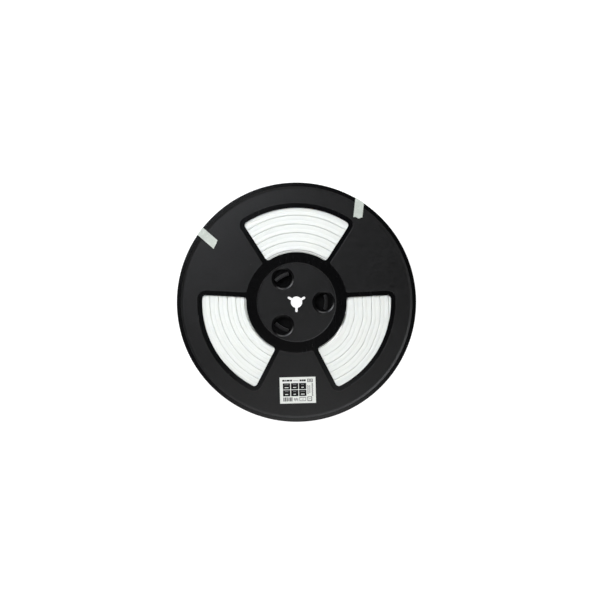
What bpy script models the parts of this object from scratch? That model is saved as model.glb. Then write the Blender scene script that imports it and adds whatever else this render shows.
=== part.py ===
"""Reel of white silicone neon flex: two snapped plastic halves, the wound flex, its lead,
two tape strips and a paper label. Metres, +Z up, lying flat on its back flange.

The halves are one moulding used twice, face to face. In the half's own frame z = 0 is the
plane where the two meet, and +z runs out to the flange's outer face.
"""
import math

import bmesh
import bpy
from mathutils import Matrix, Vector

MM = 0.001

# Clearances
TOUCH_GAP = 0.3 * MM          # between pieces that rest on each other
LATCH_SIDE_GAP = 0.5 * MM     # between a latch arm and the lip that it hooks over

# Flex
FLEX_HEIGHT = 12.0 * MM       # radial size of one turn
FLEX_WIDTH = 12.0 * MM        # along the reel's axis
FLEX_TURNS = 7
FLEX_SIDE_ROOM = 1.2 * MM     # room beside the flex between the flanges
FLEX_CORNER = 1.0 * MM
TURN_GROOVE_WIDTH = 1.2 * MM
TURN_GROOVE_DEPTH = 0.8 * MM

# Lead wound inside the first turn
LEAD_DIAMETER = 3.4 * MM
LEAD_START_ANGLE = -13.0
LEAD_SWEEP = 342.0
LEAD_DROP = 0.8 * MM          # lead's top below the coil's front end

# Reel
BARREL_RADIUS = 66.5 * MM     # what the lead and the flex are wound on
WINDING_SLACK = 2.1 * MM      # loose room round the lead
FLANGE_OVERHANG = 9.0 * MM    # flange past the last turn
FLANGE_THICKNESS = 2.2 * MM
EDGE_CHAMFER = 0.7 * MM       # round the flange's outer edge
RIM_HEIGHT = 1.6 * MM         # raised rim above the flange face
RIM_WIDTH = 5.4 * MM          # flat top of the rim
RIM_SLOPE = 2.6 * MM          # run of the rim's inner slope
HUB_WALL = 2.0 * MM
HUB_DROP = 1.2 * MM           # hub disc below the smooth ring round it
HUB_DISC_MARGIN = 1.5 * MM    # hub disc past the wells
RING_MARGIN = 0.7 * MM        # smooth ring past the windows' inner edge

# Windows
WINDOW_ANGLES = (90.0, 210.0, 330.0)
WINDOW_BARREL_COVER = 2.6 * MM   # from the barrel out to the windows
OUTER_BAND = 34.8 * MM           # flange outside the windows
WINDOW_INNER_HALF_ANGLE = 35.7
WINDOW_OUTER_HALF_ANGLE = 34.3
WINDOW_CORNER = 4.8 * MM
LEDGE_WIDTH = 6.2 * MM
LEDGE_DEPTH = 1.2 * MM

# Arbor hole
ARBOR_RADIUS = 8.1 * MM
KEY_ANGLES = (30.0, 150.0, 270.0)
KEY_REACH = 14.0 * MM
KEY_WIDTH = 3.6 * MM
BOSS_WALL = 3.0 * MM          # outside the key slots

# Catch wells and the latch arms of the other half that hook into them
WELL_ANGLES = (0.0, 120.0, 240.0)
WELL_CIRCLE_RADIUS = 37.5 * MM
WELL_RADIUS = 13.15 * MM
WELL_WALL = 1.6 * MM
WELL_FOOT_Z = 1.2 * MM        # well's foot above the joint between the halves
WELL_CHAMFER_WIDTH = 2.05 * MM
WELL_CHAMFER_DEPTH = 0.9 * MM
LIP_THICKNESS = 1.2 * MM
FOOT_SHELF = 0.5 * MM         # step round the opening in the well's foot
LATCH_OFFSET = 1.4 * MM       # arm's inner side past the well's centre
LATCH_THICKNESS = 2.6 * MM
LATCH_END_ROOM = 2.65 * MM    # from an arm's end to the well's side
BARB_REACH = 2.3 * MM
BARB_EDGE = 0.3 * MM          # flat edge of the barb under its slope
LATCH_TIP_DROP = 1.6 * MM     # tip below the other half's hub disc

# Tape strips: where each crosses the reel's edge, and the way it runs outward there
TAPE_THICKNESS = 0.25 * MM
TAPE_WIDTH = 12.4 * MM
TAPE_RIM_OVERLAP = 0.6 * MM   # tape stays level this far past the rim's flat top
TAPE_RAMP_RUN = 5.0 * MM      # plan length in which the tape comes down to the face
LEFT_TAPE = {"crossing": 143.6, "heading": 139.0, "front": 29.0 * MM, "back": 26.0 * MM}
RIGHT_TAPE = {"crossing": 58.2, "heading": 84.0, "front": 24.5 * MM, "back": 27.0 * MM}

# Label
LABEL_LENGTH = 49.5 * MM
LABEL_HEIGHT = 36.1 * MM
LABEL_THICKNESS = 0.15 * MM
LABEL_SIDE_SHIFT = 1.8 * MM
LABEL_INSET = 8.9 * MM        # label's centre inside the circle of the windows' outer edges
LABEL_TURN = 1.4

# Facets
REEL_SIDES = 60
FACET_TURN = 1.3              # keeps facet edges off the middles of windows, wells and arms
WELL_SIDES = 24
CORNER_STEPS = 4
LEAD_STEP = 6.7
CUT_OVERSHOOT = 2.0 * MM      # how far a cutter runs past what it cuts
SHARP_ANGLE = 30.0

# Heights in the half's own frame
CHANNEL_FACE_Z = (FLEX_WIDTH + FLEX_SIDE_ROOM) / 2
FACE_Z = CHANNEL_FACE_Z + FLANGE_THICKNESS
RIM_Z = FACE_Z + RIM_HEIGHT
LEDGE_Z = FACE_Z - LEDGE_DEPTH
HUB_FACE_Z = LEDGE_Z - HUB_DROP
HUB_BACK_Z = HUB_FACE_Z - HUB_WALL
RING_BACK_Z = LEDGE_Z - HUB_WALL
HUB_CORE_Z = HUB_FACE_Z - HUB_WALL / 2
LIP_Z = WELL_FOOT_Z + LIP_THICKNESS
LATCH_TIP_Z = -(HUB_FACE_Z - LATCH_TIP_DROP)
BARB_BACK_Z = -(LIP_Z + TOUCH_GAP)

# Radii that follow
COIL_INNER_RADIUS = BARREL_RADIUS + LEAD_DIAMETER + WINDING_SLACK
COIL_OUTER_RADIUS = COIL_INNER_RADIUS + FLEX_TURNS * FLEX_HEIGHT
REEL_RADIUS = COIL_OUTER_RADIUS + FLANGE_OVERHANG
WINDOW_OUTER_RADIUS = REEL_RADIUS - OUTER_BAND
WINDOW_INNER_RADIUS = BARREL_RADIUS + WINDOW_BARREL_COVER
RING_OUTER_RADIUS = WINDOW_INNER_RADIUS + RING_MARGIN
WELL_MOUTH_RADIUS = WELL_RADIUS + WELL_CHAMFER_WIDTH
RING_INNER_RADIUS = WELL_CIRCLE_RADIUS + WELL_MOUTH_RADIUS + HUB_DISC_MARGIN
RIM_INNER_RADIUS = REEL_RADIUS - RIM_WIDTH
SLOPE_INNER_RADIUS = RIM_INNER_RADIUS - RIM_SLOPE
BOSS_RADIUS = KEY_REACH + BOSS_WALL
LATCH_INNER_RADIUS = WELL_CIRCLE_RADIUS + LATCH_OFFSET
LATCH_OUTER_RADIUS = LATCH_INNER_RADIUS + LATCH_THICKNESS
LIP_EDGE_RADIUS = LATCH_OUTER_RADIUS + LATCH_SIDE_GAP

# Heights in the part's frame: the back tape runs lie on z = 0
MID_Z = TAPE_THICKNESS + RIM_Z
FRONT_FACE_Z = MID_Z + FACE_Z
COIL_BACK_Z = MID_Z - CHANNEL_FACE_Z + TOUCH_GAP
COIL_FRONT_Z = COIL_BACK_Z + FLEX_WIDTH


def polar(radius, degrees):
    """Plan point at a radius and an angle."""
    angle = math.radians(degrees)
    return Vector((radius * math.cos(angle), radius * math.sin(angle)))


def arc(centre, radius, start, end, steps):
    """Plan points along an arc, both ends included."""
    return [centre + polar(radius, start + (end - start) * i / steps) for i in range(steps + 1)]


def heading(vector):
    """Angle of a plan vector in degrees."""
    return math.degrees(math.atan2(vector.y, vector.x))


def clear_scene():
    for item in list(bpy.data.objects):
        bpy.data.objects.remove(item, do_unlink=True)


def add_object(name, bm):
    """Turn a bmesh into a linked object with smooth round faces."""
    bmesh.ops.recalc_face_normals(bm, faces=bm.faces)
    mesh = bpy.data.meshes.new(name)
    bm.to_mesh(mesh)
    bm.free()
    smooth(mesh)
    item = bpy.data.objects.new(name, mesh)
    bpy.context.scene.collection.objects.link(item)
    return item


def smooth(mesh):
    mesh.shade_smooth()
    mesh.set_sharp_from_angle(angle=math.radians(SHARP_ANGLE))


def set_material(item, name, colour, roughness, metallic=0.0):
    material = bpy.data.materials.new(name)
    material.use_nodes = True
    shader = material.node_tree.nodes["Principled BSDF"]
    shader.inputs["Base Color"].default_value = (*colour, 1.0)
    shader.inputs["Roughness"].default_value = roughness
    shader.inputs["Metallic"].default_value = metallic
    material.diffuse_color = (*colour, 1.0)
    item.data.materials.clear()
    item.data.materials.append(material)


def turned(profile):
    """Closed ring turned about the reel's axis from (radius, z) points that stay off it."""
    bm = bmesh.new()
    rings = [
        [bm.verts.new((*polar(r, FACET_TURN + 360 * step / REEL_SIDES), z)) for r, z in profile]
        for step in range(REEL_SIDES)
    ]
    for near, far in zip(rings, rings[1:] + rings[:1]):
        for i in range(len(profile)):
            j = (i + 1) % len(profile)
            bm.faces.new((near[i], near[j], far[j], far[i]))
    return bm


def stacked(layers):
    """Closed solid through (plan outline, z) layers that have the same number of points."""
    bm = bmesh.new()
    rings = [[bm.verts.new((*p, z)) for p in outline] for outline, z in layers]
    for lower, upper in zip(rings, rings[1:]):
        for i in range(len(lower)):
            j = (i + 1) % len(lower)
            bm.faces.new((lower[i], lower[j], upper[j], upper[i]))
    bm.faces.new(rings[0])
    bm.faces.new(rings[-1])
    return bm


def turned_plug(profile, sides, centre):
    """Solid turned about an axis of its own through (radius, z) points."""
    return stacked([([centre + polar(r, 360 * s / sides) for s in range(sides)], z)
                    for r, z in profile])


def prism(outline, low, high):
    """Plan outline extruded from one height to another."""
    return stacked([(outline, low), (outline, high)])


def joined(parts):
    """One bmesh that holds several separate ones."""
    whole = bmesh.new()
    for part in parts:
        scratch = bpy.data.meshes.new("scratch")
        bmesh.ops.recalc_face_normals(part, faces=part.faces)
        part.to_mesh(scratch)
        part.free()
        whole.from_mesh(scratch)
        bpy.data.meshes.remove(scratch)
    return whole


def rotated(outline, degrees):
    turn = Matrix.Rotation(math.radians(degrees), 2)
    return [turn @ p for p in outline]


def window_outline(grow, inner_radius):
    """Window about the +X direction, with its sides and outer edge moved out by grow."""
    outer_radius = WINDOW_OUTER_RADIUS + grow
    fillet = WINDOW_CORNER + grow
    near = polar(WINDOW_INNER_RADIUS, WINDOW_INNER_HALF_ANGLE)
    far = polar(WINDOW_OUTER_RADIUS, WINDOW_OUTER_HALF_ANGLE)
    along = (far - near).normalized()
    outward = Vector((-along.y, along.x))
    inset = near.dot(outward) + grow - fillet

    def fillet_centre(radius):
        """Point on a circle whose distance from the side line is the fillet."""
        return outward * inset + along * math.sqrt(radius ** 2 - inset ** 2)

    outer_centre = fillet_centre(outer_radius - fillet)
    inner_centre = fillet_centre(inner_radius + fillet)
    side_heading = heading(outward)
    outer_half = heading(outer_centre)
    inner_half = heading(inner_centre)
    steps = round(2 * outer_half * REEL_SIDES / 360)
    upper = arc(Vector((0, 0)), outer_radius, 0, outer_half, steps // 2)
    upper += arc(outer_centre, fillet, outer_half, side_heading, CORNER_STEPS)[1:]
    upper += arc(inner_centre, fillet, side_heading, inner_half + 180, CORNER_STEPS)
    upper += arc(Vector((0, 0)), inner_radius, inner_half, 0, steps // 2)[1:]
    lower = [Vector((p.x, -p.y)) for p in reversed(upper[1:-1])]
    return upper + lower


def well_opening():
    """Opening at the well's foot, closed beyond the lip's edge. The well lies along +X."""
    centre = Vector((WELL_CIRCLE_RADIUS, 0))
    radius = WELL_RADIUS - FOOT_SHELF
    squares = LIP_EDGE_RADIUS ** 2 - radius ** 2 + WELL_CIRCLE_RADIUS ** 2
    x = squares / (2 * WELL_CIRCLE_RADIUS)
    corner = Vector((x, math.sqrt(LIP_EDGE_RADIUS ** 2 - x ** 2)))
    lip_half = heading(corner)
    wall_start = heading(corner - centre)
    lip = arc(Vector((0, 0)), LIP_EDGE_RADIUS, -lip_half, lip_half, CORNER_STEPS * 2)
    wall = arc(centre, radius, wall_start, 360 - wall_start, WELL_SIDES * 2 // 3)
    return lip + wall[1:-1]


def arbor_outline():
    """Round hole with three key slots."""
    half_width = KEY_WIDTH / 2
    half_angle = math.degrees(math.asin(half_width / ARBOR_RADIUS))
    outline = []
    for index, key in enumerate(KEY_ANGLES):
        following = KEY_ANGLES[(index + 1) % len(KEY_ANGLES)]
        span = (following - key) % 360
        slot_end = [Vector((KEY_REACH, -half_width)), Vector((KEY_REACH, half_width))]
        outline += rotated(slot_end, key)
        outline += arc(Vector((0, 0)), ARBOR_RADIUS, key + half_angle, key + span - half_angle,
                       CORNER_STEPS * 2)
    return outline


def half_profile():
    """Section of the half as (radius, z), round the outside and back through the hub."""
    start = ARBOR_RADIUS / 2
    return [
        (start, HUB_FACE_Z),
        (start, 0.0),
        (BOSS_RADIUS, 0.0),
        (BOSS_RADIUS, HUB_BACK_Z),
        (RING_INNER_RADIUS + HUB_WALL, HUB_BACK_Z),
        (RING_INNER_RADIUS + HUB_WALL, RING_BACK_Z),
        (BARREL_RADIUS - HUB_WALL, RING_BACK_Z),
        (BARREL_RADIUS - HUB_WALL, 0.0),
        (BARREL_RADIUS, 0.0),
        (BARREL_RADIUS, CHANNEL_FACE_Z),
        (REEL_RADIUS - EDGE_CHAMFER, CHANNEL_FACE_Z),
        (REEL_RADIUS, CHANNEL_FACE_Z + EDGE_CHAMFER),
        (REEL_RADIUS, RIM_Z - EDGE_CHAMFER),
        (REEL_RADIUS - EDGE_CHAMFER, RIM_Z),
        (RIM_INNER_RADIUS, RIM_Z),
        (SLOPE_INNER_RADIUS, FACE_Z),
        (RING_OUTER_RADIUS, FACE_Z),
        (RING_OUTER_RADIUS, LEDGE_Z),
        (RING_INNER_RADIUS, LEDGE_Z),
        (RING_INNER_RADIUS, HUB_FACE_Z),
    ]


def well_tubes():
    """Tubes that hang from the hub disc round the catch holes."""
    outer = WELL_RADIUS + WELL_WALL
    profile = [(outer, HUB_CORE_Z), (outer, WELL_FOOT_Z)]
    return [turned_plug(profile, WELL_SIDES, polar(WELL_CIRCLE_RADIUS, a)) for a in WELL_ANGLES]


def latch_arm(angle):
    """Curved arm with an outward barb at its tip, standing on the hub disc's back."""
    half = math.degrees((WELL_RADIUS - LATCH_END_ROOM) / LATCH_OUTER_RADIUS)
    barb_radius = LATCH_OUTER_RADIUS + BARB_REACH
    section = [
        (LATCH_INNER_RADIUS, HUB_CORE_Z),
        (LATCH_OUTER_RADIUS, HUB_CORE_Z),
        (LATCH_OUTER_RADIUS, BARB_BACK_Z),
        (barb_radius, BARB_BACK_Z),
        (barb_radius, BARB_BACK_Z - BARB_EDGE),
        (LATCH_OUTER_RADIUS, LATCH_TIP_Z),
        (LATCH_INNER_RADIUS, LATCH_TIP_Z),
    ]
    bm = bmesh.new()
    rows = []
    for i in range(CORNER_STEPS + 1):
        turn = angle - half + 2 * half * i / CORNER_STEPS
        rows.append([bm.verts.new((*polar(r, turn), z)) for r, z in section])
    for near, far in zip(rows, rows[1:]):
        for i in range(len(section)):
            j = (i + 1) % len(section)
            bm.faces.new((near[i], near[j], far[j], far[i]))
    bm.faces.new(rows[0])
    bm.faces.new(rows[-1])
    return bm


def cut_or_join(target, tool, operation):
    """Cut a tool object from the target, or join it on. The tool stays out of the model."""
    tool.hide_render = True
    tool.display_type = "WIRE"
    modifier = target.modifiers.new(tool.name, "BOOLEAN")
    modifier.operation = operation
    modifier.solver = "EXACT"
    modifier.object = tool


def well_pocket(angle):
    """What the well takes out of the hub disc, down to the lip."""
    profile = [
        (WELL_MOUTH_RADIUS, HUB_FACE_Z + CUT_OVERSHOOT),
        (WELL_MOUTH_RADIUS, HUB_FACE_Z),
        (WELL_RADIUS, HUB_FACE_Z - WELL_CHAMFER_DEPTH),
        (WELL_RADIUS, LIP_Z),
    ]
    return turned_plug(profile, WELL_SIDES, polar(WELL_CIRCLE_RADIUS, angle))


def build_half_mesh():
    """The moulding: flange, half barrel, catch wells, boss and latch arms."""
    body = add_object("half_body", turned(half_profile()))
    latches = [latch_arm(angle + 180) for angle in WELL_ANGLES]
    cut_or_join(body, add_object("join_wells", joined(well_tubes())), "UNION")
    cut_or_join(body, add_object("join_latches", joined(latches)), "UNION")

    over = RIM_Z + CUT_OVERSHOOT
    window = window_outline(0.0, WINDOW_INNER_RADIUS)
    ledge = window_outline(LEDGE_WIDTH, (RING_INNER_RADIUS + RING_OUTER_RADIUS) / 2)
    cuts = {
        "cut_ledges": [prism(rotated(ledge, a), LEDGE_Z, over) for a in WINDOW_ANGLES],
        "cut_windows": [prism(rotated(window, a), CHANNEL_FACE_Z - CUT_OVERSHOOT, over)
                        for a in WINDOW_ANGLES],
        "cut_pockets": [well_pocket(a) for a in WELL_ANGLES],
        "cut_openings": [prism(rotated(well_opening(), a), WELL_FOOT_Z - CUT_OVERSHOOT, HUB_CORE_Z)
                         for a in WELL_ANGLES],
        "cut_arbor": [prism(arbor_outline(), -CUT_OVERSHOOT, over)],
    }
    for name, tools in cuts.items():
        cut_or_join(body, add_object(name, joined(tools)), "DIFFERENCE")

    graph = bpy.context.evaluated_depsgraph_get()
    mesh = bpy.data.meshes.new_from_object(body.evaluated_get(graph))
    mesh.name = "reel_half"
    smooth(mesh)
    for item in [body] + [m.object for m in body.modifiers]:
        bpy.data.objects.remove(item, do_unlink=True)
    return mesh


def add_reel_half(name, mesh, turn):
    item = bpy.data.objects.new(name, mesh)
    item.location = (0, 0, MID_Z)
    item.rotation_euler = (0, math.radians(turn), 0)
    bpy.context.scene.collection.objects.link(item)
    return item


def coil_end(z, inward):
    """Points across one end of the coil, outward: a groove at each seam between turns."""
    points = [
        (COIL_INNER_RADIUS, z + inward * FLEX_CORNER),
        (COIL_INNER_RADIUS + FLEX_CORNER, z),
    ]
    for turn in range(1, FLEX_TURNS):
        seam = COIL_INNER_RADIUS + turn * FLEX_HEIGHT
        points.append((seam - TURN_GROOVE_WIDTH / 2, z))
        points.append((seam, z + inward * TURN_GROOVE_DEPTH))
        points.append((seam + TURN_GROOVE_WIDTH / 2, z))
    points.append((COIL_OUTER_RADIUS - FLEX_CORNER, z))
    points.append((COIL_OUTER_RADIUS, z + inward * FLEX_CORNER))
    return points


def add_flex_coil():
    """The wound flex as one turned solid with its bore."""
    profile = coil_end(COIL_BACK_Z, 1) + coil_end(COIL_FRONT_Z, -1)[::-1]
    return add_object("neon_flex_coil", turned(profile))


def add_lead():
    """Thin lead that lies round the barrel, against the first turn."""
    curve = bpy.data.curves.new("lead_wire", "CURVE")
    curve.dimensions = "3D"
    curve.bevel_depth = LEAD_DIAMETER / 2
    curve.bevel_resolution = 2
    curve.use_fill_caps = True
    radius = COIL_INNER_RADIUS - TOUCH_GAP - LEAD_DIAMETER / 2
    height = COIL_FRONT_Z - LEAD_DROP - LEAD_DIAMETER / 2
    steps = round(LEAD_SWEEP / LEAD_STEP)
    spline = curve.splines.new("POLY")
    spline.points.add(steps)
    for i, point in enumerate(spline.points):
        plan = polar(radius, LEAD_START_ANGLE - LEAD_SWEEP * i / steps)
        point.co = (plan.x, plan.y, height, 1.0)
    item = bpy.data.objects.new("lead_wire", curve)
    bpy.context.scene.collection.objects.link(item)
    return item


def reach(point, along, radius):
    """Distance along a line from a plan point to where it leaves a circle about the axis."""
    half = point.dot(along)
    return -half + math.sqrt(half ** 2 - point.dot(point) + radius ** 2)


def tape_face_path(edge, inward, length):
    """Plan points of one tape edge on a flange face, from the reel's edge to its end.

    Each comes with its height above the flange face: on the rim, then down to the face.
    """
    rim_stop = RIM_INNER_RADIUS - TAPE_RIM_OVERLAP
    stops = [(rim_stop, RIM_HEIGHT), (rim_stop - TAPE_RAMP_RUN, 0.0)]
    full = reach(edge, -inward, REEL_RADIUS)
    path = []
    for radius, lift in stops:
        travel = full - reach(edge, -inward, radius)
        path.append((edge + inward * travel, lift))
    path.append((edge + inward * length, 0.0))
    return path


def tape_side(crossing, outward_heading, offset, front, back):
    """Inner and outer points of one lengthwise line of a tape, front end to back end."""
    outward = polar(1.0, outward_heading)
    across = Vector((-outward.y, outward.x))
    line = polar(REEL_RADIUS, crossing) + across * offset
    edge = line + outward * reach(line, outward, REEL_RADIUS)
    edge_angle = heading(edge)
    slant = math.radians(outward_heading - edge_angle)
    wall_turn = math.degrees(2 * RIM_Z * math.tan(slant) / REEL_RADIUS)
    back_edge = polar(REEL_RADIUS, edge_angle + wall_turn)
    back_inward = -polar(1.0, edge_angle + wall_turn - math.degrees(slant))
    front_length = front + (edge - line).dot(outward)

    inner, outer = [], []
    for plan, lift in reversed(tape_face_path(edge, -outward, front_length)):
        z = MID_Z + FACE_Z + lift
        inner.append((*plan, z))
        outer.append((*plan, z + TAPE_THICKNESS))
    wall = REEL_RADIUS + TOUCH_GAP
    for angle, z, side in ((edge_angle, RIM_Z, 1), (edge_angle + wall_turn, -RIM_Z, -1)):
        inner.append((*polar(wall, angle), MID_Z + z))
        outer.append((*polar(wall + TAPE_THICKNESS, angle), MID_Z + z + side * TAPE_THICKNESS))
    for plan, lift in tape_face_path(back_edge, back_inward, back):
        z = MID_Z - FACE_Z - lift
        inner.append((*plan, z))
        outer.append((*plan, z - TAPE_THICKNESS))
    return inner, outer


def add_tape(name, crossing, outward_heading, front, back):
    """Paper tape folded over the reel's edge, from the front flange to the back one."""
    bm = bmesh.new()
    columns = []
    for offset in (-TAPE_WIDTH / 2, 0.0, TAPE_WIDTH / 2):
        inner, outer = tape_side(crossing, outward_heading, offset, front, back)
        columns.append(([bm.verts.new(p) for p in inner], [bm.verts.new(p) for p in outer]))
    count = len(columns[0][0])
    for left, right in zip(columns, columns[1:]):
        for i in range(count - 1):
            for skin in (0, 1):
                bm.faces.new((left[skin][i], right[skin][i], right[skin][i + 1], left[skin][i + 1]))
        for i in (0, count - 1):
            bm.faces.new((left[0][i], right[0][i], right[1][i], left[1][i]))
    for inner, outer in (columns[0], columns[-1]):
        for i in range(count - 1):
            bm.faces.new((inner[i], inner[i + 1], outer[i + 1], outer[i]))
    bmesh.ops.triangulate(bm, faces=bm.faces)
    return add_object(name, bm)


def add_label():
    half_length = LABEL_LENGTH / 2
    half_height = LABEL_HEIGHT / 2
    signs = ((-1, -1), (1, -1), (1, 1), (-1, 1))
    corners = [Vector((x * half_length, y * half_height)) for x, y in signs]
    centre = Vector((LABEL_SIDE_SHIFT, LABEL_INSET - WINDOW_OUTER_RADIUS))
    outline = [centre + p for p in rotated(corners, LABEL_TURN)]
    return add_object("paper_label", prism(outline, FRONT_FACE_Z, FRONT_FACE_Z + LABEL_THICKNESS))


def main():
    clear_scene()
    half = build_half_mesh()
    front = add_reel_half("reel_half_front", half, 0.0)
    add_reel_half("reel_half_back", half, 180.0)
    set_material(front, "black_moulded_plastic", (0.028, 0.028, 0.031), 0.45)

    set_material(add_flex_coil(), "white_silicone", (0.88, 0.90, 0.87), 0.42)
    set_material(add_lead(), "white_lead_jacket", (0.80, 0.82, 0.80), 0.40)
    for name, tape in (("tape_strip_left", LEFT_TAPE), ("tape_strip_right", RIGHT_TAPE)):
        strip = add_tape(name, tape["crossing"], tape["heading"], tape["front"], tape["back"])
        set_material(strip, name + "_paper", (0.66, 0.69, 0.64), 0.85)
    set_material(add_label(), "label_paper", (0.82, 0.83, 0.80), 0.55)


main()
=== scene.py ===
"""Reel of white silicone neon flex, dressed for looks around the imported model.

Two snapped halves of one black moulding hold seven turns of flex and the lead that runs inside
them. Two strips of paper tape fold over the reel's edge, and a paper label is stuck on the front.
Lengths are metres, angles are degrees, and +Z points up out of the front flange.
"""
import logging
import math
from collections.abc import Callable, Sequence
from dataclasses import dataclass, field
from enum import Enum
from functools import cache

import bmesh
import bpy
import numpy as np
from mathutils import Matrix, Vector


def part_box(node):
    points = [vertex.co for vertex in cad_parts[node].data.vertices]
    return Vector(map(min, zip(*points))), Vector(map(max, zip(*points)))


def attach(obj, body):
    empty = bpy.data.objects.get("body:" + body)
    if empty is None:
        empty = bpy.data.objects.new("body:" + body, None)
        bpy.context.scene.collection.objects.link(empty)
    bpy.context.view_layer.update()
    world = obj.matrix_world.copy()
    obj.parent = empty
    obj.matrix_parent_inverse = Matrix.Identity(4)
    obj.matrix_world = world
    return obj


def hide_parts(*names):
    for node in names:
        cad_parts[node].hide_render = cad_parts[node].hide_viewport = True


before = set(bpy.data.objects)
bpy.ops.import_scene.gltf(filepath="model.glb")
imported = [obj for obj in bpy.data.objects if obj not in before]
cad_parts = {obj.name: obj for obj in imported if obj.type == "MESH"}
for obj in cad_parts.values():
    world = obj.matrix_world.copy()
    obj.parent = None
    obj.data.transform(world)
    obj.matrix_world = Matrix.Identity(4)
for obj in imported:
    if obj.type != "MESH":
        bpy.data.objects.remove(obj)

logging.basicConfig(level=logging.INFO, format="%(message)s")
log = logging.getLogger("reel")

MM = 0.001
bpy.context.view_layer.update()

Colour = tuple[float, float, float]
Row = tuple[float, float, float]
Ring = list[bmesh.types.BMVert]
Feed = bpy.types.NodeSocket | float | tuple | bool | None


class Skin(Enum):
    """Moulded surfaces of a reel half, each with a material slot of its own."""

    TEXTURED = 0
    SMOOTH = 1
    SATIN = 2


class Facing(Enum):
    """Which way a reel half's outer face looks."""

    FRONT = 1.0
    BACK = -1.0


class Ink(Enum):
    """What a spot of the label shows, each with a material slot of its own."""

    BARE = 0
    BLACK = 1
    GREY = 2


# Plan geometry


def polar(radius: float, degrees: float) -> np.ndarray:
    """Plan point at a radius and an angle."""
    angle = math.radians(degrees)
    return np.array((radius * math.cos(angle), radius * math.sin(angle)))


def heading(point: np.ndarray) -> float:
    """Angle of a plan vector in degrees."""
    return math.degrees(math.atan2(point[1], point[0]))


def arc(centre: np.ndarray, radius: float, start: float, end: float, steps: int) -> np.ndarray:
    """Plan points along an arc, both ends included."""
    return np.array([centre + polar(radius, start + (end - start) * i / steps)
                     for i in range(steps + 1)])


def towards(here: np.ndarray, other: np.ndarray, reach: float) -> np.ndarray:
    """Point at a reach from here on the way to another."""
    away = other - here
    return here + away / np.linalg.norm(away) * reach


def bend(before: np.ndarray, corner: np.ndarray, after: np.ndarray, t: float) -> np.ndarray:
    """Point of the smooth bend that takes a corner's place."""
    return (1 - t) ** 2 * before + 2 * t * (1 - t) * corner + t ** 2 * after


ORIGIN = np.zeros(2)


@dataclass(frozen=True)
class Outline:
    """Closed plan outline whose points run counter-clockwise."""

    points: np.ndarray

    @classmethod
    def circle(cls, radius: float, sides: int, centre: np.ndarray = ORIGIN) -> "Outline":
        """Round outline about a centre."""
        return cls(arc(centre, radius, 0.0, 360.0, sides)[:-1])

    def turned(self, degrees: float) -> "Outline":
        """The outline turned about the reel's axis."""
        c, s = polar(1.0, degrees)
        return Outline(self.points @ np.array(((c, s), (-s, c))))

    def grown(self, distance: float) -> np.ndarray:
        """Points moved straight out of the outline, mitred at its corners.

        Args:
            distance: How far out, or in where it is negative.

        Returns:
            As many points as the outline has.
        """
        ahead = np.roll(self.points, -1, axis=0) - self.points
        ahead /= np.linalg.norm(ahead, axis=1, keepdims=True)
        after = np.column_stack((ahead[:, 1], -ahead[:, 0]))
        before = np.roll(after, 1, axis=0)
        lean = 1.0 + np.sum(before * after, axis=1, keepdims=True)
        return self.points + distance * (before + after) / lean


# Sections of walls

ROUNDING_STEPS = 4
SAME_PLACE = 1e-7


@dataclass(frozen=True)
class Corner:
    """Corner of a wall's section: its place, how far its rounding runs, and how much its edge is lightened,
    as wear and as painted highlight.
    """

    out: float
    z: float
    reach: float = 0.0
    wear_and_highlight: float = 0.0


def rounded(corners: Sequence[Corner]) -> list[Row]:
    """Section through some corners, with each inner one rounded.

    Args:
        corners: The section's corners in order. The two end ones stay as they are.

    Returns:
        Rows of distance out of the outline, height and edge lightening (wear and painted highlight).
    """
    rows: list[Row] = []

    def put(place: np.ndarray, wear_and_highlight: float) -> None:
        """Add a row unless it repeats the last one."""
        if not rows or np.hypot(rows[-1][0] - place[0], rows[-1][1] - place[1]) > SAME_PLACE:
            rows.append((place[0], place[1], wear_and_highlight))

    for i, corner in enumerate(corners):
        here = np.array((corner.out, corner.z))
        if i in (0, len(corners) - 1) or corner.reach == 0.0:
            put(here, corner.wear_and_highlight)
            continue
        before, after = (towards(here, np.array((other.out, other.z)), corner.reach)
                         for other in (corners[i - 1], corners[i + 1]))
        for step in range(ROUNDING_STEPS + 1):
            t = step / ROUNDING_STEPS
            put(bend(before, here, after, t), corner.wear_and_highlight * 4 * t * (1 - t))
    return rows


@dataclass(frozen=True)
class Rest:
    """Flat that a wall runs into: its height, its side of the outline, and the rounding there."""

    z: float
    side: float
    reach: float
    wear_and_highlight: float = 0.0


def wall_between(first: Rest, last: Rest) -> list[Row]:
    """Rows of an upright wall from one flat to another.

    Args:
        first: The flat that it starts from.
        last: The flat that it ends in.

    Returns:
        Rows of distance out of the outline, height and edge lightening (wear and painted highlight).
    """
    return rounded((
        Corner(first.side * first.reach, first.z),
        Corner(0.0, first.z, first.reach, first.wear_and_highlight),
        Corner(0.0, last.z, last.reach, last.wear_and_highlight),
        Corner(last.side * last.reach, last.z),
    ))


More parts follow.
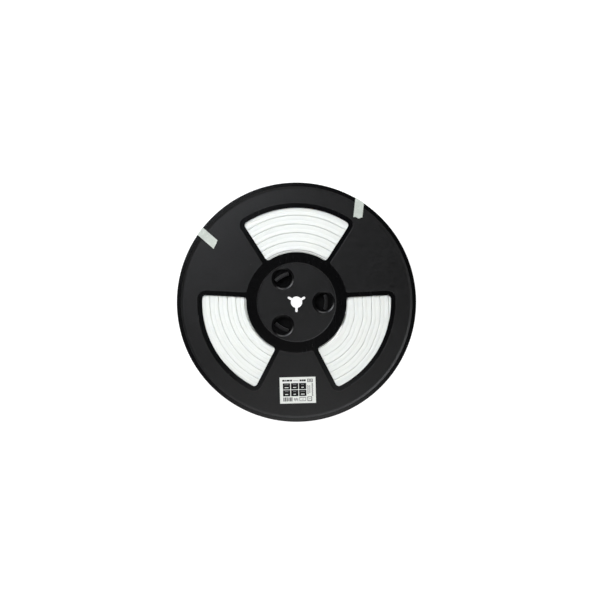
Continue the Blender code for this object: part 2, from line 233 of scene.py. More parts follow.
class Shell:
    """Closed skin made of rings of points, walls between them and flat faces inside them."""

    WEAR_AND_HIGHLIGHT = "wear_and_highlight"

    def __init__(self) -> None:
        """Start an empty skin."""
        self.bm = bmesh.new()
        self.wear_and_highlight = self.bm.verts.layers.float.new(self.WEAR_AND_HIGHLIGHT)

    def ring(self, points: np.ndarray, z: float, wear_and_highlight: float = 0.0) -> Ring:
        """Add a ring of points at one height.

        Args:
            points: Plan points, in order.
            z: Their height.
            wear_and_highlight: How much they are lightened, as edge wear and as painted highlight.

        Returns:
            The ring.
        """
        ring = [self.bm.verts.new((x, y, z)) for x, y in points]
        for vert in ring:
            vert[self.wear_and_highlight] = wear_and_highlight
        return ring

    def band(self, rings: Sequence[Ring], skin: Skin) -> None:
        """Join rings that follow each other by smooth faces.

        Args:
            rings: Rings of as many points each.
            skin: The moulded surface that the faces get.
        """
        for lower, upper in zip(rings, rings[1:]):
            for i in range(len(lower)):
                j = (i + 1) % len(lower)
                face = self.bm.faces.new((lower[i], lower[j], upper[j], upper[i]))
                face.smooth = True
                face.material_index = skin.value

    def wall(self, outline: Outline, rows: Sequence[Row], skin: Skin = Skin.SMOOTH) -> tuple[Ring, Ring]:
        """Sweep a section round an outline.

        Args:
            outline: What the wall follows.
            rows: Distance out of the outline, height and edge lightening (wear and painted highlight) of each
                ring.
            skin: The moulded surface that it gets.

        Returns:
            The first and the last ring.
        """
        rings = [self.ring(outline.grown(out), z, wear_and_highlight) for out, z, wear_and_highlight in rows]
        self.band(rings, skin)
        return rings[0], rings[-1]

    def lathe(self, corners: Sequence[Corner], sides: int, skin: Skin = Skin.SMOOTH,
              core: float = 0.0, core_skin: Skin = Skin.SMOOTH) -> tuple[Ring, Ring]:
        """Turn a section about the reel's axis.

        Args:
            corners: The section's radii and heights.
            sides: Points round each ring.
            skin: The moulded surface that it gets.
            core: Radius inside which it gets another.
            core_skin: That other surface.

        Returns:
            The first and the last ring.
        """
        unit = Outline.circle(1.0, sides).points
        rows = rounded(corners)
        rings = [self.ring(unit * radius, z, wear_and_highlight) for radius, z, wear_and_highlight in rows]
        for i, (row, after) in enumerate(zip(rows, rows[1:])):
            self.band(rings[i:i + 2], core_skin if (row[0] + after[0]) / 2 < core else skin)
        return rings[0], rings[-1]

    def flat(self, rings: Sequence[Ring], skin: Skin) -> None:
        """Fill the level face that some rings bound.

        Args:
            rings: Its outer ring and those of its holes.
            skin: The moulded surface that it gets.
        """
        edges = [self.bm.edges.get((ring[i - 1], ring[i])) for ring in rings for i in range(len(ring))]
        filled = bmesh.ops.triangle_fill(self.bm, edges=edges, use_beauty=True)["geom"]
        for item in filled:
            if isinstance(item, bmesh.types.BMFace):
                item.smooth = True
                item.material_index = skin.value

    def mesh(self, name: str) -> bpy.types.Mesh:
        """Turn the skin's faces outward and make a mesh of it.

        Args:
            name: The mesh's name.

        Returns:
            The mesh.
        """
        bmesh.ops.recalc_face_normals(self.bm, faces=self.bm.faces)
        loose = sum(not edge.is_manifold for edge in self.bm.edges)
        if loose:
            log.warning("%s has %d open edges", name, loose)
        mesh = bpy.data.meshes.new(name)
        self.bm.to_mesh(mesh)
        self.bm.free()
        return mesh


def place(name: str, mesh: bpy.types.Mesh) -> bpy.types.Object:
    """Link a mesh as an object at the origin.

    Args:
        name: The object's name.
        mesh: Its mesh, in place.

    Returns:
        The object.
    """
    item = bpy.data.objects.new(name, mesh)
    bpy.context.scene.collection.objects.link(item)
    return item


def applied(item: bpy.types.Object) -> bpy.types.Object:
    """Make an object's evaluated shape its plain mesh and drop its modifiers.

    Args:
        item: The object.

    Returns:
        The same object.
    """
    graph = bpy.context.evaluated_depsgraph_get()
    mesh = bpy.data.meshes.new_from_object(item.evaluated_get(graph), depsgraph=graph)
    mesh.name = item.name
    item.modifiers.clear()
    item.data = mesh
    return item


HARD_EDGE = 50.0
SOFT_EDGE = 60.0


def even_shading(item: bpy.types.Object, sharp: float) -> bpy.types.Object:
    """Shade by the larger faces, so that flats stay flat up to their rounded edges.

    Args:
        item: The piece.
        sharp: Angle in degrees past which an edge shades as a break.

    Returns:
        The same piece.
    """
    item.data.set_sharp_from_angle(angle=math.radians(sharp))
    weighted = item.modifiers.new("even", "WEIGHTED_NORMAL")
    weighted.mode = "FACE_AREA"
    weighted.weight = 100
    weighted.keep_sharp = True
    return applied(item)


# Node trees


class Wiring:
    """Adds nodes to one tree and wires them up."""

    def __init__(self, tree: bpy.types.NodeTree) -> None:
        """Work on a tree."""
        self.tree = tree

    def feed(self, socket: bpy.types.NodeSocket, value: Feed) -> None:
        """Link a socket to another, or set its own value.

        Args:
            socket: The input.
            value: An output to link, a value, or None to leave it alone.
        """
        if isinstance(value, bpy.types.NodeSocket):
            self.tree.links.new(value, socket)
        elif value is not None:
            socket.default_value = value

    def add(self, kind: str, feeds: dict[str | int, Feed] | None = None,
            **settings: object) -> bpy.types.Node:
        """Add a node.

        Args:
            kind: The node's type.
            feeds: What each input takes, by its name or its number.
            settings: The node's own properties.

        Returns:
            The new node.
        """
        node = self.tree.nodes.new(kind)
        for name, value in settings.items():
            setattr(node, name, value)
        for key, value in (feeds or {}).items():
            self.feed(node.inputs[key], value)
        return node

    def math(self, operation: str, *values: Feed, clamp: bool = False) -> bpy.types.NodeSocket:
        """Add a Math node and return its result."""
        return self.add("ShaderNodeMath", dict(enumerate(values)), operation=operation,
                        use_clamp=clamp).outputs[0]

    def vector(self, operation: str, *values: Feed) -> bpy.types.NodeSocket:
        """Add a Vector Math node and return its vector, or its number where it has one."""
        node = self.add("ShaderNodeVectorMath", dict(enumerate(values)), operation=operation)
        return node.outputs["Value" if operation in ("LENGTH", "DISTANCE") else "Vector"]

    def span(self, value: Feed, low: float, high: float, to_low: float = 0.0, to_high: float = 1.0,
             kind: str = "SMOOTHSTEP") -> bpy.types.NodeSocket:
        """Map a range of values to another, held at its ends.

        Args:
            value: What is mapped.
            low: Where its range starts.
            high: Where its range ends.
            to_low: What its start gives.
            to_high: What its end gives.
            kind: How it eases.

        Returns:
            The mapped value.
        """
        return self.add("ShaderNodeMapRange", {
            "Value": value, "From Min": low, "From Max": high, "To Min": to_low, "To Max": to_high,
        }, interpolation_type=kind).outputs["Result"]

    def noise(self, vector: Feed, scale: Feed, detail: float = 2.0,
              roughness: float = 0.5) -> bpy.types.NodeSocket:
        """Add a noise texture and return its value.

        Args:
            vector: Where it is read.
            scale: Its scale.
            detail: Its octaves.
            roughness: How much each octave adds.

        Returns:
            Its value, about 0.5.
        """
        return self.add("ShaderNodeTexNoise", {
            "Vector": vector, "Scale": scale, "Detail": detail, "Roughness": roughness,
        }).outputs[0]

    def blend(self, share: Feed, first: Feed, second: Feed) -> bpy.types.NodeSocket:
        """Mix two colours."""
        return self.add("ShaderNodeMix", {0: share, 6: first, 7: second}, data_type="RGBA").outputs[2]

    def group(self, tree: bpy.types.NodeTree, **values: Feed) -> bpy.types.Node:
        """Add a shader node group.

        Args:
            tree: The group's tree.
            values: What each input takes, with underscores for spaces.

        Returns:
            The group's node.
        """
        node = self.tree.nodes.new("ShaderNodeGroup")
        node.node_tree = tree
        for name, value in values.items():
            self.feed(node.inputs[name.replace("_", " ")], value)
        return node

    def relief(self, shader: bpy.types.Node, height: Feed, depth: float) -> None:
        """Raise a shader's surface by a height map, in which 1 stands for a depth."""
        bump = self.add("ShaderNodeBump", {"Strength": 1.0, "Distance": depth, "Height": height})
        self.feed(shader.inputs["Normal"], bump.outputs["Normal"])


Sockets = bpy.types.NodeInputs | bpy.types.NodeOutputs


def new_group(name: str, inputs: dict[str, str], outputs: dict[str, str],
              kind: str = "ShaderNodeTree") -> tuple[Wiring, Sockets, Sockets]:
    """Start a node group.

    Args:
        name: The group's name.
        inputs: Socket kind of each input, such as Float.
        outputs: Socket kind of each output.
        kind: The kind of tree.

    Returns:
        Its wiring, the sockets that it takes from and those that it gives to.
    """
    tree = bpy.data.node_groups.new(name, kind)
    for direction, sockets in (("INPUT", inputs), ("OUTPUT", outputs)):
        for label, socket in sockets.items():
            tree.interface.new_socket(label, in_out=direction, socket_type=f"NodeSocket{socket}")
    wiring = Wiring(tree)
    return wiring, wiring.add("NodeGroupInput").outputs, wiring.add("NodeGroupOutput").inputs


class Effects:
    """Surface effects that several materials share, each a node group made once."""

    @staticmethod
    @cache
    def grain() -> bpy.types.NodeTree:
        """Fine pebbled relief with finer grit in it, as a spark-eroded mould leaves it.

        Returns:
            The group's tree.
        """
        w, take, give = new_group(
            "moulded_grain", {"Vector": "Vector", "Pebble Size": "Float"}, {"Height": "Float"})
        scale = w.math("DIVIDE", 1.0, take["Pebble Size"])
        pebbles = w.add("ShaderNodeTexVoronoi", {"Vector": take["Vector"], "Scale": scale},
                        feature="SMOOTH_F1").outputs["Distance"]
        grit = w.noise(take["Vector"], w.math("MULTIPLY", scale, 1.7), detail=3.0)
        w.feed(give["Height"], w.math("MULTIPLY_ADD", grit, 0.8, pebbles))
        return w.tree

    @staticmethod
    @cache
    def mottle() -> bpy.types.NodeTree:
        """Slow, cloudy variation between two values.

        Returns:
            The group's tree.
        """
        w, take, give = new_group(
            "cloudy_mottle", {"Vector": "Vector", "Patch Size": "Float", "Low": "Float", "High": "Float"},
            {"Value": "Float"})
        cloud = w.noise(take["Vector"], w.math("DIVIDE", 1.0, take["Patch Size"]), detail=4.0, roughness=0.55)
        node = w.add("ShaderNodeMapRange", {
            "Value": cloud, "From Min": 0.3, "From Max": 0.7, "To Min": take["Low"], "To Max": take["High"]})
        w.feed(give["Value"], node.outputs["Result"])
        return w.tree

    @staticmethod
    @cache
    def marks() -> bpy.types.NodeTree:
        """Hazy rubs from handling, and hair scratches that show only inside some of them.

        Returns:
            The group's tree.
        """
        w, take, give = new_group("handling_marks", {"Vector": "Vector", "Patch Size": "Float"},
                                  {"Haze": "Float", "Scratches": "Float"})
        scale = w.math("DIVIDE", 1.0, take["Patch Size"])
        cloud = w.noise(take["Vector"], scale, detail=5.0, roughness=0.6)
        w.feed(give["Haze"], w.span(cloud, 0.48, 0.74))
        lines = []
        for turn, stretch in ((0.5, 0.05), (-0.9, 0.07)):
            laid = w.add("ShaderNodeMapping", {
                "Vector": take["Vector"], "Rotation": (0.0, 0.0, turn),
                "Scale": (1.0, stretch, 1.0)}).outputs["Vector"]
            hair = w.noise(laid, w.math("MULTIPLY", scale, 9.0), detail=1.0)
            close = w.math("ABSOLUTE", w.math("SUBTRACT", hair, 0.5))
            lines.append(w.span(close, 0.0, 0.006, 1.0, 0.0))
        both = w.math("MAXIMUM", *lines)
        w.feed(give["Scratches"], w.math("MULTIPLY", both, w.span(cloud, 0.5, 0.62)))
        return w.tree

    @staticmethod
    @cache
    def specks() -> bpy.types.NodeTree:
        """Sparse specks of dust, each in a cell of its own.

        Returns:
            The group's tree.
        """
        w, take, give = new_group(
            "dust_specks", {"Vector": "Vector", "Spacing": "Float", "Share": "Float"}, {"Mask": "Float"})
        scale = w.math("DIVIDE", 1.0, take["Spacing"])
        cells = w.add("ShaderNodeTexVoronoi", {"Vector": take["Vector"], "Scale": scale})
        near = w.span(cells.outputs["Distance"], 0.05, 0.13, 1.0, 0.0)
        drawn = w.add("ShaderNodeSeparateColor", {"Color": cells.outputs["Color"]}).outputs[0]
        w.feed(give["Mask"], w.math("MULTIPLY", near, w.math("LESS_THAN", drawn, take["Share"])))
        return w.tree

    @staticmethod
    @cache
    def edge_wear_and_highlight() -> bpy.types.NodeTree:
        """Patchy lightening along the edges that the mesh marks: polish where hands and shelves rub them, and
        painted highlight on some edges.

        Returns:
            The group's tree.
        """
        w, take, give = new_group("edge_wear_and_highlight", {"Vector": "Vector", "Rubbed": "Float"}, {"Mask": "Float"})
        broken = w.span(w.noise(take["Vector"], 260.0, detail=3.0), 0.35, 0.65, 0.25, 1.0)
        w.feed(give["Mask"], w.math("MULTIPLY", broken, take["Rubbed"]))
        return w.tree

    @classmethod
    def clouds(cls, w: Wiring, coords: Feed, patch: float, low: float = 0.0,
               high: float = 1.0) -> bpy.types.NodeSocket:
        """Place a mottle in a material and return its value."""
        return w.group(cls.mottle(), Vector=coords, Patch_Size=patch, Low=low, High=high).outputs[0]


def tinted(colour: Colour, share: float = 1.0) -> tuple[float, ...]:
    """Opaque colour with its channels multiplied by a share."""
    return (*(channel * share for channel in colour), 1.0)


def shaded(name: str, colour: Colour) -> tuple[
        bpy.types.Material, Wiring, bpy.types.Node, bpy.types.NodeSocket]:
    """Start a material.

    Args:
        name: The material's name.
        colour: Its viewport colour.

    Returns:
        The material, its wiring, its shader and the piece's own coordinates.
    """
    material = bpy.data.materials.new(name)
    material.use_nodes = True
    material.diffuse_color = (*colour, 1.0)
    wiring = Wiring(material.node_tree)
    shader = material.node_tree.nodes["Principled BSDF"]
    coords = wiring.add("ShaderNodeTexCoord").outputs["Object"]
    return material, wiring, shader, coords


# Finishes


@dataclass(frozen=True)
class MouldedPlastic:
    """Black polystyrene as it leaves the mould, with grain, rubs, hair scratches and dust, and edges
    lightened as wear and as painted highlight.
    """

    name: str
    colour: Colour
    roughness: float
    pebble_size: float
    relief: float
    haze: float
    dust: float
    fleck: float
    sheen: float
    wear_and_highlight_colour: Colour = (0.008, 0.008, 0.0084)
    haze_colour: Colour = (0.012, 0.012, 0.0125)
    dust_colour: Colour = (0.35, 0.34, 0.33)
    dust_strength: float = 0.12
    dust_spacing: float = 4.5 * MM
    mark_patch: float = 55.0 * MM
    tone_patch: float = 30.0 * MM
    fleck_patch: float = 2.5 * MM

    def material(self) -> bpy.types.Material:
        """Build the material. It reads how much the mesh lightens each edge, as wear and as painted
        highlight.

        Returns:
            The material.
        """
        material, w, shader, coords = shaded(self.name, self.colour)
        marks = w.group(Effects.marks(), Vector=coords, Patch_Size=self.mark_patch)
        dust = w.group(Effects.specks(), Vector=coords, Spacing=self.dust_spacing,
                       Share=self.dust).outputs[0]
        attribute = w.add("ShaderNodeAttribute", attribute_name=Shell.WEAR_AND_HIGHLIGHT)
        wear_and_highlight_mask = w.group(Effects.edge_wear_and_highlight(), Vector=coords, Rubbed=attribute.outputs["Fac"]).outputs[0]
        tone = Effects.clouds(w, coords, self.tone_patch)
        fleck = Effects.clouds(w, coords, self.fleck_patch, -0.5, 0.5)
        body = w.blend(tone, tinted(self.colour), tinted(self.colour, 1.35))
        # Edges lighten towards the wear colour: real rubbing, and a painted highlight on the hub's inner edge
        # and the latch arms.
        body = w.blend(wear_and_highlight_mask, body, tinted(self.wear_and_highlight_colour))
        body = w.blend(w.math("MULTIPLY", marks.outputs["Haze"], self.haze), body, tinted(self.haze_colour))
        body = w.blend(w.math("MULTIPLY", dust, self.dust_strength), body, tinted(self.dust_colour))
        w.feed(shader.inputs["Base Color"], body)
        rough = w.math("MULTIPLY_ADD", marks.outputs["Haze"], self.haze * 0.1, self.roughness)
        rough = w.math("MULTIPLY_ADD", fleck, self.fleck, rough)
        rough = w.math("MULTIPLY_ADD", marks.outputs["Scratches"], 0.10, rough)
        rough = w.math("MULTIPLY_ADD", wear_and_highlight_mask, -0.05, rough)
        w.feed(shader.inputs["Roughness"], rough)
        shader.inputs["Specular IOR Level"].default_value = self.sheen
        height = w.group(Effects.grain(), Vector=coords, Pebble_Size=self.pebble_size).outputs[0]
        height = w.math("MULTIPLY_ADD", marks.outputs["Scratches"], -0.3, height)
        w.relief(shader, height, self.relief)
        return material


@dataclass(frozen=True)
class MilkySilicone:
    """Soft white silicone with fine lines along it from the extruder."""

    name: str = "milky_silicone"
    colour: Colour = (0.915, 0.940, 0.900)
    roughness: float = 0.42
    dust: float = 0.04
    dust_colour: Colour = (0.45, 0.44, 0.42)
    dust_strength: float = 0.25
    dust_spacing: float = 6.0 * MM
    streak_pitch: float = 0.9 * MM
    streak_relief: float = 0.02 * MM
    tone_patch: float = 40.0 * MM
    glow: float = 0.25
    glow_colour: Colour = (1.0, 0.95, 0.85)
    glow_depth: float = 3.0 * MM

    def material(self) -> bpy.types.Material:
        """Build the material. Its streaks follow the turns, by radius and height.

        Returns:
            The material.
        """
        material, w, shader, coords = shaded(self.name, self.colour)
        radius = w.vector("LENGTH", w.vector("MULTIPLY", coords, (1.0, 1.0, 0.0)))
        level = w.add("ShaderNodeSeparateXYZ", {"Vector": coords}).outputs["Z"]
        across = w.add("ShaderNodeCombineXYZ", {"X": radius, "Y": level}).outputs["Vector"]
        streaks = w.noise(across, 1.0 / self.streak_pitch, detail=2.0)
        tone = Effects.clouds(w, coords, self.tone_patch)
        body = w.blend(tone, tinted(self.colour), tinted(self.colour, 0.965))
        body = w.blend(w.span(streaks, 0.35, 0.75, 0.0, 0.5), body, tinted(self.colour, 0.93))
        dust = w.group(Effects.specks(), Vector=coords, Spacing=self.dust_spacing,
                       Share=self.dust).outputs[0]
        body = w.blend(w.math("MULTIPLY", dust, self.dust_strength), body, tinted(self.dust_colour))
        w.feed(shader.inputs["Base Color"], body)
        w.feed(shader.inputs["Roughness"],
               w.span(tone, 0.0, 1.0, self.roughness - 0.04, self.roughness + 0.06))
        shader.inputs["Subsurface Weight"].default_value = self.glow
        shader.inputs["Subsurface Radius"].default_value = self.glow_colour
        shader.inputs["Subsurface Scale"].default_value = self.glow_depth
        w.relief(shader, streaks, self.streak_relief)
        return material


@dataclass(frozen=True)
class CableJacket:
    """Satin white jacket of a thin cable, faintly scuffed; its colour is set grey, well below white, as
    painted shade.
    """

    name: str = "white_cable_jacket"
    # Grey rather than white: painted shade for the lead lying in the gap by the first turn.
    colour: Colour = (0.47, 0.49, 0.46)
    roughness: float = 0.38
    mark_patch: float = 20.0 * MM
    relief: float = 0.01 * MM

    def material(self) -> bpy.types.Material:
        """Build the material.

        Returns:
            The material.
        """
        material, w, shader, coords = shaded(self.name, self.colour)
        haze = w.group(Effects.marks(), Vector=coords, Patch_Size=self.mark_patch).outputs["Haze"]
        w.feed(shader.inputs["Base Color"], w.blend(
            w.math("MULTIPLY", haze, 0.6), tinted(self.colour), tinted(self.colour, 0.82)))
        w.feed(shader.inputs["Roughness"], w.math("MULTIPLY_ADD", haze, 0.15, self.roughness))
        w.relief(shader, w.noise(coords, 900.0, detail=2.0), self.relief)
        return material


@dataclass(frozen=True)
class CrepedPaper:
    """Grey-green masking tape: creped across and fibrous, darker in random patches, with painted shade in the
    crepe's hollows.
    """

    name: str = "creped_paper_tape"
    colour: Colour = (0.66, 0.71, 0.645)
    strip_map: str = "along_and_across"
    crepe_pitch: float = 0.75 * MM
    crepe_stretch: float = 0.28
    tone_patch: float = 7.0 * MM
    relief: float = 0.07 * MM

    def material(self) -> bpy.types.Material:
        """Build the material. It reads the strip's own map, along it and across it in metres.

        Returns:
            The material.
        """
        material, w, shader, coords = shaded(self.name, self.colour)
        own = w.add("ShaderNodeUVMap", uv_map=self.strip_map).outputs["UV"]
        laid = w.vector("MULTIPLY", own, (1.0, self.crepe_stretch, 1.0))
        crepe = w.noise(laid, 1.0 / self.crepe_pitch, detail=3.0, roughness=0.6)
        fibres = w.noise(own, 2.2 / self.crepe_pitch, detail=4.0, roughness=0.7)
        tone = Effects.clouds(w, coords, self.tone_patch)
        body = w.blend(tone, tinted(self.colour), tinted(self.colour, 0.84))
        # Painted shade: the crepe's hollows, which the relief also sinks, are darkened.
        body = w.blend(w.span(crepe, 0.38, 0.62, 0.55, 0.0), body, tinted(self.colour, 0.72))
        w.feed(shader.inputs["Base Color"], body)
        w.feed(shader.inputs["Roughness"], w.span(fibres, 0.3, 0.7, 0.72, 0.92))
        w.relief(shader, w.math("MULTIPLY_ADD", fibres, 0.25, crepe), self.relief)
        return material


@dataclass(frozen=True)
class LabelSurface:
    """Face of a paper label, bare stock or ink, with faint paper fibre under it."""

    name: str
    colour: Colour
    roughness: float
    uneven: float
    sheen: float = 0.4
    tone_patch: float = 4.0 * MM
    relief: float = 0.008 * MM

    def material(self) -> bpy.types.Material:
        """Build the material.

        Returns:
            The material.
        """
        material, w, shader, coords = shaded(self.name, self.colour)
        tone = Effects.clouds(w, coords, self.tone_patch)
        w.feed(shader.inputs["Base Color"],
               w.blend(tone, tinted(self.colour), tinted(self.colour, 1.0 - self.uneven)))
        shader.inputs["Specular IOR Level"].default_value = self.sheen
        fibres = w.noise(coords, 1800.0, detail=3.0)
        w.feed(shader.inputs["Roughness"], w.span(fibres, 0.3, 0.7, self.roughness, self.roughness + 0.1))
        w.relief(shader, fibres, self.relief)
        return material


Finish = MouldedPlastic | MilkySilicone | CableJacket | CrepedPaper | LabelSurface

REEL_FINISHES = {
    Skin.TEXTURED: MouldedPlastic(
        "textured_black_plastic", colour=(0.0022, 0.0022, 0.0024), roughness=0.43, pebble_size=0.55 * MM,
        relief=0.045 * MM, haze=0.14, dust=0.05, fleck=0.26, sheen=0.36),
    Skin.SMOOTH: MouldedPlastic(
        "smooth_black_plastic", colour=(0.0009, 0.0009, 0.0011), roughness=0.24, pebble_size=2.5 * MM,
        relief=0.006 * MM, haze=0.02, dust=0.02, fleck=0.02, sheen=0.30),
    Skin.SATIN: MouldedPlastic(
        "satin_black_plastic", colour=(0.0008, 0.0008, 0.0010), roughness=0.26, pebble_size=1.6 * MM,
        relief=0.005 * MM, haze=0.03, dust=0.03, fleck=0.03, sheen=0.29),
}
LABEL_FINISHES = {
    Ink.BARE: LabelSurface("label_stock", (0.80, 0.82, 0.775), roughness=0.42, uneven=0.04),
    Ink.BLACK: LabelSurface("label_black_ink", (0.004, 0.0042, 0.004), roughness=0.45, uneven=0.3,
                            sheen=0.15),
    Ink.GREY: LabelSurface("label_grey_ink", (0.19, 0.195, 0.19), roughness=0.45, uneven=0.15, sheen=0.3),
}


def dress(mesh: bpy.types.Mesh, finishes: Sequence[Finish]) -> None:
    """Give a mesh its materials in order, each made only once."""
    for finish in finishes:
        mesh.materials.append(bpy.data.materials.get(finish.name) or finish.material())


# Reel


def joint_height() -> float:
    """Height of the plane where the two halves of the reel meet."""
    return (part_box("reel_half_back")[0].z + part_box("reel_half_front")[1].z) / 2


@dataclass
class ReelHalf:
    """One half of the reel: flange, rim, windows with ledges, hub disc, catch wells and arms.

    Heights are in the half's own frame, where the two halves meet at 0 and +z runs outward.
    """

    radius: float = 165.0 * MM
    rim_width: float = 5.4 * MM
    rim_slope: float = 2.6 * MM
    rim_z: float = 10.4 * MM
    face_z: float = 8.8 * MM
    ledge_z: float = 7.6 * MM
    hub_z: float = 6.4 * MM
    channel_z: float = 6.6 * MM
    hub_back_z: float = 4.4 * MM
    ring_back_z: float = 5.6 * MM
    edge_chamfer: float = 0.7 * MM

    barrel_radius: float = 66.5 * MM
    barrel_wall: float = 2.0 * MM
    ring_outer: float = 69.8 * MM
    ring_inner: float = 54.2 * MM

    window_angles: tuple[float, ...] = (90.0, 210.0, 330.0)
    window_inner: float = 69.1 * MM
    window_outer: float = 130.2 * MM
    inner_half_angle: float = 35.7
    outer_half_angle: float = 34.3
    window_corner: float = 4.8 * MM
    ledge_width: float = 6.2 * MM
    spoke_corner: float = 3.2 * MM

    arbor_radius: float = 7.85 * MM
    key_angles: tuple[float, ...] = (30.0, 150.0, 270.0)
    key_reach: float = 13.75 * MM
    key_width: float = 3.2 * MM
    boss_radius: float = 17.0 * MM

    well_angles: tuple[float, ...] = (0.0, 120.0, 240.0)
    well_circle: float = 37.5 * MM
    well_radius: float = 13.15 * MM
    well_wall: float = 1.6 * MM
    well_chamfer: tuple[float, float] = (2.05 * MM, 0.9 * MM)
    foot_z: float = 1.2 * MM
    foot_shelf: float = 0.5 * MM
    lip_z: float = 2.4 * MM
    lip_edge: float = 42.0 * MM

    arm_inner: float = 38.9 * MM
    arm_thickness: float = 2.6 * MM
    arm_end_room: float = 2.65 * MM
    barb_reach: float = 2.3 * MM
    barb_z: float = -2.7 * MM
    barb_edge: float = 0.3 * MM
    tip_z: float = -4.8 * MM
    tip_easing: float = 0.25 * MM

    sides: int = 288
    hub_sides: int = 72
    corner_steps: int = 10
    step_angle: float = 1.25
    shell: Shell = field(default_factory=Shell)

    def side_line(self, grow: float) -> tuple[np.ndarray, np.ndarray, float]:
        """Upper side of a window about +X.

        Args:
            grow: How far it is moved out.

        Returns:
            The line's direction, its outward normal and its distance from the axis.
        """
        near = polar(self.window_inner, self.inner_half_angle)
        far = polar(self.window_outer, self.outer_half_angle)
        along = (far - near) / np.linalg.norm(far - near)
        outward = np.array((-along[1], along[0]))
        return along, outward, float(near @ outward) + grow

    def outer_corner(self, grow: float) -> tuple[np.ndarray, float]:
        """Centre and radius of a window's upper outer corner.

        Args:
            grow: How far the window's sides are moved out.

        Returns:
            The corner's centre and its radius.
        """
        along, outward, distance = self.side_line(grow)
        fillet = self.window_corner + grow
        inset = distance - fillet
        reach = self.window_outer + grow - fillet
        return outward * inset + along * math.sqrt(reach ** 2 - inset ** 2), fillet

    def arc_steps(self, degrees: float) -> int:
        """Steps for an arc about the axis."""
        return max(2, round(abs(degrees) / self.step_angle))

    def mirrored(self, upper: np.ndarray) -> Outline:
        """Outline from its upper half, whose two ends lie on the line of symmetry."""
        lower = upper[-2:0:-1] * np.array((1.0, -1.0))
        return Outline(np.concatenate((upper, lower)))

    def window(self) -> Outline:
        """Window about +X.

        Returns:
            Its outline.
        """
        along, outward, distance = self.side_line(0.0)
        side = heading(outward)
        outer, fillet = self.outer_corner(0.0)
        inset = distance - fillet
        inner_reach = self.window_inner + fillet
        inner = outward * inset + along * math.sqrt(inner_reach ** 2 - inset ** 2)
        upper = np.concatenate((
            arc(ORIGIN, self.window_outer, 0.0, heading(outer), self.arc_steps(heading(outer))),
            arc(outer, fillet, heading(outer), side, self.corner_steps)[1:],
            arc(inner, fillet, side, heading(inner) + 180.0, self.corner_steps),
            arc(ORIGIN, self.window_inner, heading(inner), 0.0, self.arc_steps(heading(inner)))[1:],
        ))
        return self.mirrored(upper)

    def sunk_outline(self) -> Outline:
        """Edge of the flange's face round the three ledges and the smooth ring between them.

        Returns:
            Its outline, all the way round.
        """
        along, outward, distance = self.side_line(self.ledge_width)
        side = heading(outward)
        outer, fillet = self.outer_corner(self.ledge_width)
        radius = self.spoke_corner
        inset = distance + radius
        spoke = outward * inset + along * math.sqrt((self.ring_outer + radius) ** 2 - inset ** 2)
        middle = 180.0 / len(self.window_angles)
        upper = np.concatenate((
            arc(ORIGIN, self.window_outer + self.ledge_width, 0.0, heading(outer),
                self.arc_steps(heading(outer))),
            arc(outer, fillet, heading(outer), side, self.corner_steps)[1:],
            arc(spoke, radius, side + 180.0, heading(spoke) + 180.0, self.corner_steps),
            arc(ORIGIN, self.ring_outer, heading(spoke), middle, self.arc_steps(middle - heading(spoke)))[1:],
        ))
        lower = upper[-2:0:-1] * np.array((1.0, -1.0))
        sector = Outline(np.concatenate((lower, upper)))
        return Outline(np.concatenate([sector.turned(angle).points for angle in self.window_angles]))

    def arbor(self) -> Outline:
        """Round hole with three round-ended key slots.

        Returns:
            Its outline.
        """
        half = self.key_width / 2
        half_angle = math.degrees(math.asin(half / self.arbor_radius))
        span = 360.0 / len(self.key_angles)
        end = arc(np.array((self.key_reach - half, 0.0)), half, -90.0, 90.0, self.corner_steps)
        rim = arc(ORIGIN, self.arbor_radius, half_angle, span - half_angle, 2 * self.corner_steps)
        part = Outline(np.concatenate((end, rim)))
        return Outline(np.concatenate([part.turned(angle).points for angle in self.key_angles]))

    def well_opening(self) -> Outline:
        """Opening at the foot of the well about +X, closed beyond the lip's edge.

        Returns:
            Its outline.
        """
        centre = np.array((self.well_circle, 0.0))
        radius = self.well_radius - self.foot_shelf
        x = (self.lip_edge ** 2 - radius ** 2 + self.well_circle ** 2) / (2 * self.well_circle)
        corner = np.array((x, math.sqrt(self.lip_edge ** 2 - x ** 2)))
        lip = heading(corner)
        start = heading(corner - centre)
        return Outline(np.concatenate((
            arc(ORIGIN, self.lip_edge, -lip, lip, 2 * self.corner_steps),
            arc(centre, radius, start, 360.0 - start, 5 * self.corner_steps)[1:-1],
        )))

    def arm_outline(self, outer: float) -> Outline:
        """Curved bar about +X, from an arm's inner side out to a radius.

        Args:
            outer: That radius.

        Returns:
            Its outline.
        """
        root = self.arm_inner + self.arm_thickness
        half = math.degrees((self.well_radius - self.arm_end_room) / root)
        return Outline(np.concatenate((
            arc(ORIGIN, outer, -half, half, 2 * self.corner_steps),
            arc(ORIGIN, self.arm_inner, half, -half, 2 * self.corner_steps),
        )))

    def flange(self) -> tuple[Ring, Ring]:
        """Rim, flange, windows and the smooth ring, down to the channel face and the barrel.

        Returns:
            The rings from which the hub disc's face and its back go on inward.
        """
        shell = self.shell
        rim_inner = self.radius - self.rim_width
        slope_inner = rim_inner - self.rim_slope
        chamfer = self.edge_chamfer
        face, channel = shell.lathe((
            Corner(slope_inner - 0.6 * MM, self.face_z),
            Corner(slope_inner, self.face_z, 0.5 * MM),
            Corner(rim_inner, self.rim_z, 0.25 * MM, 0.5),
            Corner(self.radius - chamfer, self.rim_z, 0.25 * MM, 0.6),
            Corner(self.radius, self.rim_z - chamfer, 0.25 * MM, 1.0),
            Corner(self.radius, self.channel_z + chamfer, 0.3 * MM, 0.5),
            Corner(self.radius - chamfer, self.channel_z, 0.3 * MM),
            Corner(self.radius - chamfer - 0.6 * MM, self.channel_z),
        ), self.sides, Skin.SATIN, rim_inner, Skin.TEXTURED)

        plateau, floor = shell.wall(self.sunk_outline(), wall_between(
            Rest(self.face_z, 1.0, 0.45 * MM, 0.6), Rest(self.ledge_z, -1.0, 0.3 * MM)))
        shell.flat((face, plateau), Skin.TEXTURED)

